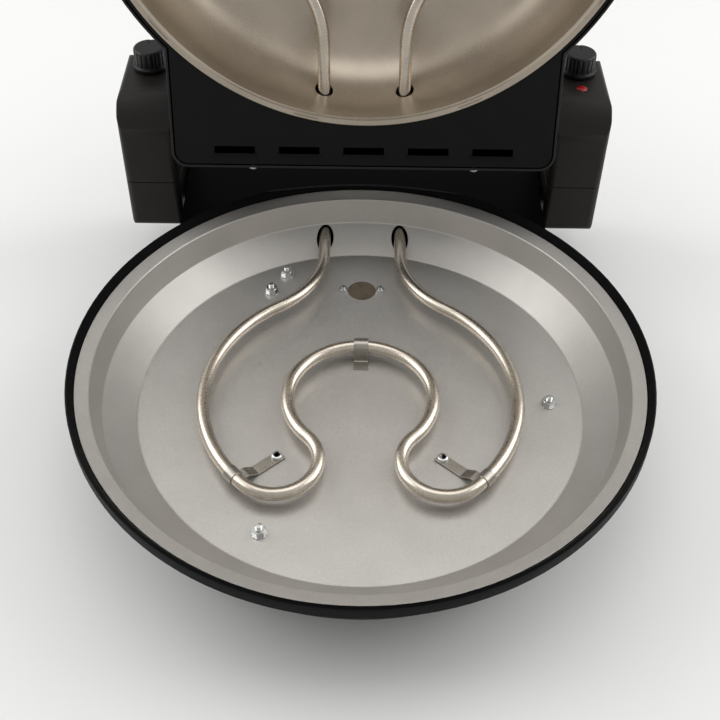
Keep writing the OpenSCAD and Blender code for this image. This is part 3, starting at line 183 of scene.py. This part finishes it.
def lathed(line, steps=192):
    """A bmesh turned about Z from a line of (radius, height) points; ends on Z are closed."""
    bm = bmesh.new()
    verts = [bm.verts.new((r, 0, z)) for r, z in line]
    edges = [bm.edges.new(pair) for pair in zip(verts, verts[1:])]
    bmesh.ops.spin(bm, geom=verts + edges, cent=(0, 0, 0), axis=(0, 0, 1),
                   angle=2 * math.pi, steps=steps, use_merge=True)
    bmesh.ops.remove_doubles(bm, verts=bm.verts, dist=1e-6)
    return bm


def standing(bm):
    """A bmesh as an object of its own, for a cut that is then taken from it."""
    mesh = bpy.data.meshes.new("work")
    bm.to_mesh(mesh)
    bm.free()
    work = bpy.data.objects.new("work", mesh)
    bpy.context.scene.collection.objects.link(work)
    return work


def cut(bm, tools, operation="DIFFERENCE"):
    """The bmesh less each tool, or joined with it."""
    work = standing(bm)
    tools = [standing(tool) for tool in tools]
    for tool in tools:
        step = work.modifiers.new("cut", "BOOLEAN")
        step.operation, step.solver, step.object = operation, "EXACT", tool
    ready = work.evaluated_get(bpy.context.evaluated_depsgraph_get())
    bm = bmesh.new()
    bm.from_mesh(ready.to_mesh())
    for item in [work] + tools:
        bpy.data.objects.remove(item)
    return bm


flange_r = (pan_high.x - pan_low.x) / 2 - 0.25 * mm
rim_r, rim_in = flange_r + 4.7 * mm, flange_r + 0.5 * mm
rim_foot, rim_h, rim_lip = 0.3 * mm, 5.1 * mm, 1.4 * mm
base_black = finish("base_black", seen(9, 10, 10), 0.5, mottle=(70, 0.1), grain=(1500, 0.35),
                    bump=0.04, Specular_IOR_Level=0.05)
slope = lathed([(0, rim_foot), (rim_in, rim_foot), (rim_r - rim_lip, rim_h),
                (rim_r - rim_lip, rim_h + 1 * mm), (0, rim_h + 1 * mm)])
bmesh.ops.recalc_face_normals(slope, faces=slope.faces)
bmesh.ops.transform(slope, matrix=in_base, verts=slope.verts)
bowl = soften(cut(copied("base_shell"), [slope]), 0.3 * mm)
piece("bowl", bowl, base_black, "base", place=Matrix(), stands_for=["base_shell"])
softened("bottom_plate", "bottom_cover", base_black, "base", 0.35 * mm, join=False)


# ---- Feet --------------------------------------------------------------------------------
# Four black rubber feet, each held by a screw in a recess of its underside.

foot_rubber = finish("foot_rubber", seen(24, 24, 24), 0.7, grain=(1400, 0.3), bump=0.06,
                     Specular_IOR_Level=0.3)
zinc_steel = finish("zinc_steel", seen(205, 206, 204), 0.26, metallic=1.0, mottle=(260, 0.07),
                    grain=(2600, 0.1), roughness_swing=0.06)
softened("foot_pads", "feet", foot_rubber, "base", 0.5 * mm)
softened("foot_fixings", "foot_screws", zinc_steel, "base", 0.1 * mm)


# ---- Deck --------------------------------------------------------------------------------
# A smooth black cover over the rear housing, cut round the rim, with turned-down sides.
# Its colour is darker than the base's black: painted shade of the open lid and the towers.

# Painted shade: the deck's colour is near-pure black, standing in for the shadow under the lid.
deck_black = finish("deck_black", seen(2, 2, 2), 0.4, mottle=(40, 0.1), grain=(900, 0.08),
                    Specular_IOR_Level=0.03)
softened("deck", "rear_deck", deck_black, "base", 0.4 * mm)


# ---- Pan ---------------------------------------------------------------------------------
# A round pan drawn from aluminised steel sheet: a flange that rests on the rim's ledge, a
# wall, a step for the baking stone and a flat floor, with pressed creases between them.

ridge_r = flange_r - 8.2 * mm
step_r = ridge_r - 5 * mm
floor_r = step_r - 18.9 * mm
ridge_z, step_z, floor_z = -2.1 * mm, -18.3 * mm, -32.9 * mm
sheet_t = 1 * mm


def filleted(points, radii, steps=6):
    """Points along a line in a plane, with the inner corners rounded to the given radii."""
    line = [Vector(points[0])]
    for before, corner, after, radius in zip(points, points[1:], points[2:], radii):
        corner = Vector(corner)
        back, ahead = (Vector(before) - corner).normalized(), (Vector(after) - corner).normalized()
        half = back.angle(ahead) / 2
        if radius == 0 or half > math.radians(89.5):
            line.append(corner)
            continue
        middle = corner + (back + ahead).normalized() * radius / math.sin(half)
        start = corner + back * radius / math.tan(half) - middle
        turn = start.angle_signed(corner + ahead * radius / math.tan(half) - middle)
        for i in range(steps + 1):
            line.append(middle + Matrix.Rotation(-turn * i / steps, 2) @ start)
    return line + [Vector(points[-1])]


def rod(start, end, radius, segments=48):
    """A round bar from one point to another."""
    bm = bmesh.new()
    start, end = Vector(start), Vector(end)
    turn = (end - start).to_track_quat("Z", "Y").to_matrix().to_4x4()
    bmesh.ops.create_cone(bm, cap_ends=True, segments=segments, radius1=radius, radius2=radius,
                          depth=(end - start).length,
                          matrix=Matrix.Translation((start + end) / 2) @ turn)
    return bm


leg_x = 26 * mm
tube_r = 4 * mm
tube_z = floor_z + 9 * mm
leg_hole_r = 5.8 * mm
stud_r = 2 * mm
stud_circle = floor_r - 20.6 * mm
stud_places = [stud_circle * Vector((math.cos(math.radians(a)), math.sin(math.radians(a))))
               for a in (-1, -118.6, 121.8)]
earth_place = (floor_r - 9.3 * mm) * Vector((math.cos(math.radians(113.95)),
                                             math.sin(math.radians(113.95))))
cutout_y = floor_r - 36.1 * mm
cutout_r = 9.2 * mm

outline = filleted([(flange_r, 0), (ridge_r, ridge_z), (step_r, step_z), (floor_r, floor_z),
                    (floor_r - 12 * mm, floor_z)], [1.3 * mm, 2.2 * mm, 2.5 * mm])
pan = lathed(outline)
rim_loop = [e for e in pan.edges if e.is_boundary and e.verts[0].co.z < floor_z + 0.1 * mm]
bmesh.ops.contextual_create(pan, geom=rim_loop)
bmesh.ops.recalc_face_normals(pan, faces=pan.faces)
if pan.faces[0].normal.z < 0:
    bmesh.ops.reverse_faces(pan, faces=pan.faces)
bmesh.ops.solidify(pan, geom=pan.faces, thickness=sheet_t)
drills = [rod((s * leg_x, floor_r - 2 * mm, tube_z - 0.5 * mm),
              (s * leg_x, flange_r, tube_z - 0.5 * mm), leg_hole_r) for s in (-1, 1)]
drills += [rod((p.x, p.y, floor_z - 5 * mm), (p.x, p.y, floor_z + 5 * mm), r)
           for p, r in [(p, stud_r + 0.2 * mm) for p in stud_places + [earth_place]]
           + [(Vector((0, cutout_y)), cutout_r + 0.2 * mm)]]
pan = soften(cut(pan, drills), 0.25 * mm, sharper_than=50)
pan_steel = finish("pan_steel", seen(194, 191, 186), 0.42, metallic=0.78, mottle=(28, 0.04),
                   grain=(1500, 0.3), speckle=0.16, roughness_swing=0.1, bump=0.05)
piece("pan", pan, pan_steel, "base", stands_for=["base_pan"])


# ---- Lower heater ------------------------------------------------------------------------
# A sheathed heater of 8 mm steel tube, bent in one line: two legs from the back, an outer
# sweep, two front loops and a middle arch. Ceramic beads close its ends behind the pan.

leg_bend, sweep_y, loop_r, arch_r = 64 * mm, 5.4 * mm, 25 * mm, 44.2 * mm
sweep_r = floor_r - 40.6 * mm
loop_turn = math.radians(44.5)
tube_run = 2 * mm
leg_end = rim_r - 4.7 * mm


def heading(angle):
    """The flat direction at an angle from +X."""
    return Vector((math.cos(angle), math.sin(angle)))


bend_span = math.hypot(sweep_r + leg_bend, tube_run)
bend_turn = math.acos((leg_x + leg_bend) / bend_span) - math.atan2(tube_run, sweep_r + leg_bend)
bend_y = (-sweep_y + (sweep_r + leg_bend) * math.sin(bend_turn)
          + tube_run * math.cos(bend_turn))
loop_centre = (Vector((0, -sweep_y)) + (sweep_r - loop_r) * heading(-loop_turn)
               - tube_run * heading(math.pi / 2 - loop_turn))
arch_turn = (math.pi - math.acos(-loop_centre.x / math.hypot(loop_r + arch_r, tube_run))
             - math.atan2(tube_run, loop_r + arch_r))
bends = [(leg_bend, bend_turn), (sweep_r, -bend_turn - loop_turn),
         (loop_r, loop_turn - arch_turn - math.pi), (arch_r, math.pi + 2 * arch_turn)]


def bent_tube(start, direction, first_run, turns, radius, segments=28, longest=2.5 * mm,
              straight_step=12 * mm):
    """A tube drawn along straight runs and flat bends; a bend to the left is positive."""
    at, way = Vector((*start, 0)), Vector((*direction, 0))
    bm = bmesh.new()
    bmesh.ops.create_circle(bm, cap_ends=False, radius=radius, segments=segments,
                            matrix=Matrix.Translation(at)
                            @ way.to_track_quat("Z", "Y").to_matrix().to_4x4())
    ends = [bm.edges[:]]
    ring = bm.edges[:]
    for run, (bend, turn) in zip([first_run] + [tube_run] * (len(turns) - 1) + [first_run],
                                 turns + [(0, 0)]):
        pieces = max(1, round(run / straight_step))
        step = way * run / pieces
        for _ in range(pieces):
            moved = bmesh.ops.extrude_edge_only(bm, edges=ring)["geom"]
            bmesh.ops.translate(bm, vec=step, verts=[v for v in moved
                                                     if isinstance(v, bmesh.types.BMVert)])
            ring = [e for e in moved if isinstance(e, bmesh.types.BMEdge)]
            at += step
        if turn:
            side = Vector((-way.y, way.x, 0)) * math.copysign(bend, turn)
            moved = bmesh.ops.spin(bm, geom=ring, cent=at + side, axis=(0, 0, 1), angle=turn,
                                   steps=max(4, math.ceil(abs(turn) * bend / longest)))
            ring = [e for e in moved["geom_last"] if isinstance(e, bmesh.types.BMEdge)]
            rotation = Matrix.Rotation(turn, 3, "Z")
            at, way = at + side - rotation @ side, rotation @ way
    for end in ends + [ring]:
        bmesh.ops.contextual_create(bm, geom=end)
    return bm


heater_steel = finish("heater_steel", seen(202, 193, 180), 0.27, metallic=1.0, mottle=(90, 0.1),
                      grain=(1700, 0.1), speckle=0.04, roughness_swing=0.07, bump=0.015)
at_lower_tube = in_base @ Matrix.Translation((0, 0, tube_z))
turns = bends + bends[-2::-1]
lower_heater = bent_tube((leg_x, leg_end), (0, -1), leg_end - bend_y, turns, tube_r)
piece("lower_heater_tube", lower_heater, heater_steel, "base", place=at_lower_tube,
      stands_for=["lower_heater"])

ceramic = finish("ceramic", seen(222, 218, 208), 0.35, mottle=(120, 0.05), grain=(1200, 0.1))
softened("lower_beads", "lower_heater_ends", ceramic, "base", 0.2 * mm)


# ---- Heater bracket and clamps -----------------------------------------------------------
# Steel strip 0.9 mm thick. The side clamps wrap the tube and step down to the floor, where a
# screw holds them. The middle clamp arches over the tube; a bracket holds the legs behind.

clamp_w, clamp_t, clamp_reach = 7 * mm, 0.9 * mm, 31 * mm
clamp_turn = math.radians(41)
strip_z = -9 * mm + clamp_t
side_bore = tube_r + 0.1 * mm + clamp_w ** 2 / (8 * sweep_r)


def arc_line(radius, start, end, steps=28):
    """Points along a circle about the origin, between two angles in degrees."""
    return [(radius * math.cos(math.radians(start + (end - start) * i / steps)),
             radius * math.sin(math.radians(start + (end - start) * i / steps)))
            for i in range(steps + 1)]


def folded_strip(line, width, thickness, edge=0.15 * mm):
    """A strip of sheet folded along a line in X and Z, as wide as given along Y."""
    bm = bmesh.new()
    verts = [bm.verts.new((x, -width / 2, z)) for x, z in line]
    edges = [bm.edges.new(pair) for pair in zip(verts, verts[1:])]
    moved = bmesh.ops.extrude_edge_only(bm, edges=edges)["geom"]
    bmesh.ops.translate(bm, vec=(0, width, 0),
                        verts=[v for v in moved if isinstance(v, bmesh.types.BMVert)])
    bmesh.ops.recalc_face_normals(bm, faces=bm.faces)
    bmesh.ops.solidify(bm, geom=bm.faces, thickness=thickness)
    bmesh.ops.recalc_face_normals(bm, faces=bm.faces)
    return soften(bm, edge, sharper_than=60)


clamp_steel = finish("clamp_steel", seen(165, 160, 152), 0.32, metallic=1.0, mottle=(150, 0.12),
                     grain=(2000, 0.12), roughness_swing=0.08)
wrap_start = 236
middle_r = side_bore + clamp_t / 2
low_line = filleted([(0, -side_bore - clamp_t / 2), (-9 * mm, -side_bore - clamp_t / 2),
                     (-15 * mm, strip_z - clamp_t / 2),
                     (-clamp_reach - clamp_w / 2, strip_z - clamp_t / 2)], [2 * mm, 2 * mm])
side_line = arc_line(middle_r, wrap_start, -90) + [tuple(p) for p in low_line[1:]]
for side, name in ((-1, "left"), (1, "right")):
    spot = Vector((side * sweep_r * math.cos(clamp_turn),
                   -sweep_y - sweep_r * math.sin(clamp_turn), tube_z))
    turned = math.pi + clamp_turn if side < 0 else -clamp_turn
    strip = folded_strip(side_line, clamp_w, clamp_t)
    piece(name + "_clamp", strip, clamp_steel, "base",
          place=in_base @ Matrix.Translation(spot) @ Matrix.Rotation(turned, 4, "Z"),
          stands_for=[name + "_heater_clamp"])
softened("middle_clamp", "middle_heater_clamp", clamp_steel, "base", 0.12 * mm)
softened("clamp_fixings", "clamp_screws", zinc_steel, "base", 0.1 * mm)
softened("leg_bracket", "heater_bracket", clamp_steel, "base", 0.15 * mm)


# ---- Pan fixings -------------------------------------------------------------------------
# Three M4 studs rise through the pan from the bowl's bottom, and a fourth carries the earth
# wire below. Each has a toothed washer and a chamfered nut; spacers stand under the pan.

stud_top = floor_z + 7 * mm
bowl_foot_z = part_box("pan_studs")[0].z - flange_z
stud_head_h, earth_head_h = 2.4 * mm, 1.5 * mm


def threaded(low, high, radius, pitch=0.7 * mm, steps=24):
    """A screw thread: a core with one helical ridge."""
    depth = 0.6 * pitch
    ridge = bmesh.new()
    foot = radius - 1.2 * depth
    verts = [ridge.verts.new((r, 0, low + z))
             for r, z in ((foot, 0), (radius, 0.45 * pitch), (foot, 0.9 * pitch))]
    loop = [ridge.edges.new((verts[i - 1], verts[i])) for i in range(3)]
    count = int((high - low) / pitch * steps) - steps
    turned = bmesh.ops.spin(ridge, geom=verts + loop, cent=(0, 0, 0), axis=(0, 0, 1),
                            dvec=(0, 0, pitch / steps), angle=2 * math.pi * count / steps,
                            steps=count)
    last = [e for e in turned["geom_last"] if isinstance(e, bmesh.types.BMEdge)]
    for end in (loop, last):
        bmesh.ops.contextual_create(ridge, geom=end)
    bmesh.ops.recalc_face_normals(ridge, faces=ridge.faces)
    core = soften(rod((0, 0, low), (0, 0, high), radius - depth), 0.5 * mm, sharper_than=50)
    return cut(core, [ridge], "UNION")


def stud(low, head_h):
    """A stud with a round head below, a plain shank and a threaded end above the floor."""
    thread_low = floor_z - 3 * mm
    shank = rod((0, 0, low + head_h / 2), (0, 0, thread_low + 0.2 * mm), stud_r)
    head = soften(rod((0, 0, low), (0, 0, low + head_h), 2 * stud_r), 0.5 * mm, sharper_than=50)
    return cut(head, [shank, threaded(thread_low, stud_top, stud_r)], "UNION")


studs = bmesh.new()
for spot, low, head_h in ([(p, bowl_foot_z, stud_head_h) for p in stud_places]
                          + [(earth_place, floor_z - sheet_t - 0.1 * mm - earth_head_h,
                              earth_head_h)]):
    one = stud(low, head_h)
    bmesh.ops.translate(one, vec=(spot.x, spot.y, 0), verts=one.verts)
    one_mesh = bpy.data.meshes.new("work")
    one.to_mesh(one_mesh)
    one.free()
    studs.from_mesh(one_mesh)
piece("studs", studs, zinc_steel, "base", smooth_to=30, stands_for=["pan_studs"])
softened("stud_nuts", "pan_nuts", zinc_steel, "base", 0.05 * mm, sharper_than=25)
softened("spacers", "pan_spacers", zinc_steel, "base", 0.3 * mm)
repaint(zinc_steel, "pan_washers")


# ---- Overheat cut-out --------------------------------------------------------------------
# A thermal switch whose brownish metal cap sits flush in the floor, held by two small bolts.

cutout_metal = finish("cutout_metal", seen(150, 135, 118), 0.4, metallic=1.0, mottle=(160, 0.14),
                      grain=(2200, 0.2))
softened("cutout", "overheat_cutout", cutout_metal, "base", 0.2 * mm)
softened("cutout_fixings", "cutout_bolts", zinc_steel, "base", 0.08 * mm)
softened("cutout_fixing_nuts", "cutout_nuts", zinc_steel, "base", 0.04 * mm, sharper_than=25)


# ---- Hinge towers ------------------------------------------------------------------------
# Each tower is two mouldings of warm black phenolic that meet at a seam: a lower half fixed
# to the rear housing, and a cover. Screws from below hold them. Bronze bushes take the pins.

tower_plastic = finish("tower_plastic", seen(24, 20, 18), 0.45, mottle=(60, 0.14),
                       grain=(1300, 0.3), bump=0.05, Specular_IOR_Level=0.3)
for node in ("left_tower_lower", "left_tower_cover", "right_tower_lower", "right_tower_cover"):
    softened(node + "_half", node, tower_plastic, "base", 0.4 * mm)
softened("tower_fixings", "tower_screws", zinc_steel, "base", 0.1 * mm)
bush_metal = finish("bush_metal", seen(178, 148, 96), 0.35, metallic=1.0, mottle=(300, 0.1))
softened("bushes", "hinge_bushes", bush_metal, "base", 0.2 * mm)


# ---- Controls ----------------------------------------------------------------------------
# A thermostat on the right and a timer on the left hang under the tower tops, each with a
# steel shaft and a fluted black knob. A red lamp beside the thermostat shows the heat is on.

control_plastic = finish("control_plastic", seen(206, 203, 194), 0.5, mottle=(90, 0.06))
knob_plastic = finish("knob_plastic", seen(17, 17, 17), 0.4, grain=(1500, 0.2), bump=0.03,
                      Specular_IOR_Level=0.35)
lamp_lens = finish("lamp_lens", seen(190, 30, 22), 0.12, mottle=(300, 0.1), grain=(900, 0.02),
                   roughness_swing=0.04, Transmission_Weight=0.4)
for name in ("thermostat", "timer"):
    softened(name + "_housing", name + "_body", control_plastic, "base", 0.4 * mm)
    softened(name + "_spindle", name + "_shaft", zinc_steel, name + "_dial", 0.3 * mm)
    softened(name + "_grip", name + "_knob", knob_plastic, name + "_dial", 0.25 * mm)
lamp_low, lamp_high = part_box("pilot_lamp")
lamp_r, lamp_h = (lamp_high.x - lamp_low.x) / 2, lamp_high.z - lamp_low.z
lens = lathed([(0, 0), (0.7 * lamp_r, 0), (0.7 * lamp_r, lamp_h - 1.6 * mm),
               (lamp_r, lamp_h - 1.6 * mm)]
              + [(lamp_r * math.cos(math.radians(a)),
                  lamp_h - 1.2 * mm + 1.2 * mm * math.sin(math.radians(a)))
                 for a in range(0, 81, 10)] + [(0, lamp_h)], steps=48)
piece("lamp", lens, lamp_lens, "base",
      place=Matrix.Translation(((lamp_low.x + lamp_high.x) / 2, (lamp_low.y + lamp_high.y) / 2,
                                lamp_low.z)), stands_for=["pilot_lamp"])


# ---- Cord outlet and wiring --------------------------------------------------------------
# A black nylon gland at the back, a ceramic terminal block inside, and sleeved leads; one
# lead goes through the left hinge pin to the lid.

gland_plastic = finish("gland_plastic", seen(24, 24, 24), 0.45, grain=(1500, 0.2),
                       Specular_IOR_Level=0.3)
wire_sleeve = finish("wire_sleeve", seen(150, 66, 48), 0.55, grain=(1600, 0.3))
softened("gland", "cord_gland", gland_plastic, "base", 0.4 * mm)
softened("terminals", "terminal_block", ceramic, "base", 0.3 * mm)
repaint(wire_sleeve, "base_wires", "lid_lead")


# ---- Lid shell ---------------------------------------------------------------------------
# A black enamelled dome with a rear block between the towers. The lid is drawn closed and
# swung open about its hinge.

lid_hinge = next(j for j in frame["joints"] if j["name"] == "lid_hinge")
hinge = Vector(lid_hinge["pos_m"])
open_turn = math.radians(105.8)
hinge_y = rim_r + 4.3 * mm
pin_z = 48.8 * mm
in_lid = (Matrix.Translation(hinge) @ Matrix.Rotation(-open_turn, 4, "X")
          @ Matrix.Translation((0, -hinge_y, -pin_z)))
lid_black = finish("lid_black", seen(16, 16, 16), 0.32, mottle=(30, 0.1), grain=(1200, 0.1),
                   Specular_IOR_Level=0.3)
softened("dome", "lid_shell", lid_black, "lid", 0.4 * mm)


# ---- Lid plate ---------------------------------------------------------------------------
# A black painted steel plate that closes the lid from below, with a row of pressed louvres
# along the hinge. Two screws hold its turned edge.

plate_black = finish("plate_black", seen(12, 12, 12), 0.5, mottle=(50, 0.12),
                     grain=(1500, 0.25), bump=0.03, Specular_IOR_Level=0.15)
softened("closing_plate", "lid_plate", plate_black, "lid", 0.2 * mm)
softened("plate_fixings", "plate_screws", zinc_steel, "lid", 0.08 * mm)


# ---- Reflector ---------------------------------------------------------------------------
# A dished reflector of polished aluminised steel with a flat ring round its mouth; the ring
# has short slots and a rolled outer edge.

ring_r = rim_r - 4.4 * mm
ring_in = ring_r - 4.8 * mm
dish_r, dish_h, dish_round = ring_in - 5.5 * mm, 58 * mm, 50 * mm
ring_z, plate_t = -0.6 * mm, 0.9 * mm
upper_z = 30 * mm


def slot_block(length, width, low, high):
    """A block with round ends, to cut a slot."""
    bm = bmesh.new()
    bmesh.ops.create_circle(bm, cap_ends=True, segments=24, radius=width / 2,
                            matrix=Matrix.Translation((0, 0, low))
                            @ Matrix.Rotation(math.pi / 24, 4, "Z"))
    for side in (-1, 1):
        bmesh.ops.translate(bm, vec=(side * (length - width) / 2, 0, 0),
                            verts=[v for v in bm.verts if v.co.x * side > 0])
    top = bmesh.ops.extrude_face_region(bm, geom=bm.faces[:])["geom"]
    bmesh.ops.translate(bm, vec=(0, 0, high - low),
                        verts=[v for v in top if isinstance(v, bmesh.types.BMVert)])
    bmesh.ops.recalc_face_normals(bm, faces=bm.faces)
    return bm


bead = 0.75 * mm
inner = filleted([(0, dish_h), (dish_r, dish_h), (ring_in - 0.9 * mm, ring_z - 0.7 * mm)],
                 [dish_round], steps=16)
ridge_top = filleted([(ring_in - 0.9 * mm, ring_z - 0.7 * mm),
                      (ring_in + 0.4 * mm, ring_z - 0.5 * mm), (ring_in + 1.1 * mm, ring_z),
                      (ring_r - 2 * bead, ring_z)],
                     [0.5 * mm, 0.8 * mm], steps=3)
rolled = [(ring_r - bead + bead * math.cos(math.radians(a)),
           ring_z + bead + bead * math.sin(math.radians(a))) for a in range(-90, 181, 15)]
outer = filleted([(ring_in - 0.2 * mm, ring_z + plate_t), (dish_r + plate_t, dish_h + plate_t),
                  (0, dish_h + plate_t)], [dish_round + plate_t], steps=16)
dish = lathed(inner[:-1] + ridge_top + rolled + [(ring_r - 2 * bead, ring_z + plate_t)] + outer)
cutters = [rod((s * leg_x, dish_r - dish_round, upper_z), (s * leg_x, ring_in + 4 * mm, upper_z),
               leg_hole_r) for s in (-1, 1)]
for i in range(10):
    slit = slot_block(16 * mm, 1.5 * mm, ring_z - 2 * mm, ring_z + plate_t - 0.1 * mm)
    bmesh.ops.transform(slit, verts=slit.verts,
                        matrix=Matrix.Rotation(math.radians(90 + 36 * (i + 0.35)), 4, "Z")
                        @ Matrix.Translation((ring_r - 2.4 * mm, 0, 0))
                        @ Matrix.Rotation(math.pi / 2, 4, "Z"))
    cutters.append(slit)
dish = cut(dish, cutters)
reflector_steel = finish("reflector_steel", seen(184, 173, 158), 0.34, metallic=0.9,
                         mottle=(30, 0.08), grain=(1800, 0.2), speckle=0.1, roughness_swing=0.08)
piece("reflector", dish, reflector_steel, "lid", place=in_lid, stands_for=["lid_reflector"])


# ---- Upper heater ------------------------------------------------------------------------
# The same bent tube as below, hung under the dish from three hangers.

at_upper_tube = in_lid @ Matrix.Translation((0, 0, upper_z))
upper_heater = bent_tube((leg_x, leg_end), (0, -1), leg_end - bend_y, turns, tube_r)
piece("upper_heater_tube", upper_heater, heater_steel, "lid", place=at_upper_tube,
      stands_for=["upper_heater"])
softened("upper_beads", "upper_heater_ends", ceramic, "lid", 0.2 * mm)
softened("hangers", "heater_hangers", clamp_steel, "lid", 0.12 * mm)
softened("hanger_fixings", "hanger_screws", zinc_steel, "lid", 0.1 * mm)


# ---- Hinge fittings ----------------------------------------------------------------------
# Steel brackets inside the lid's cheeks carry hollow pins, each kept in its bush by a clip.

for name, node in (("brackets", "hinge_brackets"), ("pins", "hinge_pins"), ("clips", "pin_clips")):
    softened(name, node, zinc_steel, "lid", 0.2 * mm)


# ---- Handle ------------------------------------------------------------------------------
# A black moulded bar that follows the lid's front edge, carried by two arms and screwed on
# from inside.

handle_plastic = finish("handle_plastic", seen(18, 18, 18), 0.42, grain=(1500, 0.25), bump=0.04,
                        Specular_IOR_Level=0.35)
softened("handle", "lid_handle", handle_plastic, "lid", 0.4 * mm, sharper_than=50,
         weld=0.03 * mm)
softened("handle_fixings", "handle_screws", zinc_steel, "lid", 0.1 * mm)


# ---- Studio ------------------------------------------------------------------------------
# A pale matt floor, one broad soft lamp overhead, a level fill all round, and the camera at
# a standing person's view of a worktop.

floor_bm = bmesh.new()
bmesh.ops.create_grid(floor_bm, x_segments=1, y_segments=1, size=4)
floor_mesh = bpy.data.meshes.new("floor")
floor_bm.to_mesh(floor_mesh)
floor_bm.free()
floor = bpy.data.objects.new("floor", floor_mesh)
bpy.context.scene.collection.objects.link(floor)
floor_mesh.materials.append(finish("floor_paper", seen(229, 229, 228), 0.85,
                                   mottle=(3, 0.01), grain=(500, 0.05)))


def softbox(name, place, aim, size, energy):
    """A broad square lamp that faces a point."""
    data = bpy.data.lights.new(name, "AREA")
    data.shape, data.size, data.energy = "SQUARE", size, energy
    lamp = bpy.data.objects.new(name, data)
    turn = (Vector(place) - Vector(aim)).to_track_quat("Z", "Y").to_matrix().to_4x4()
    lamp.matrix_world = Matrix.Translation(place) @ turn
    bpy.context.scene.collection.objects.link(lamp)


softbox("overhead", (0, 0.25, 1.7), (0, 0, 0), 1.2, 6)
for side in (-1, 1):
    softbox("side_%d" % (side > 0), (side * 1.3, 0.3, 1.02), (0, 0, 0.05), 1.3, 13.5)

world = bpy.data.worlds.new("studio")
bpy.context.scene.world = world
world.use_nodes = True
world.node_tree.nodes["Background"].inputs["Color"].default_value = (1, 0.995, 0.985, 1)
world.node_tree.nodes["Background"].inputs["Strength"].default_value = 0.57

tilt, roll = math.radians(45.49), math.radians(0.74)
forward = Vector((0, math.cos(tilt), -math.sin(tilt)))
right = Vector((1, 0, 0))
upward = right.cross(forward)
across = math.cos(roll) * right + math.sin(roll) * upward
above = -math.sin(roll) * right + math.cos(roll) * upward
camera_data = bpy.data.cameras.new("camera")
camera_data.lens, camera_data.sensor_width = 57.15, 36
camera = bpy.data.objects.new("camera", camera_data)
camera.matrix_world = (Matrix.Translation((-0.0006, -0.534186, 0.5555))
                       @ Matrix((across, above, -forward)).transposed().to_4x4())
bpy.context.scene.collection.objects.link(camera)
bpy.context.scene.camera = camera
bpy.context.scene.view_settings.view_transform = "Standard"
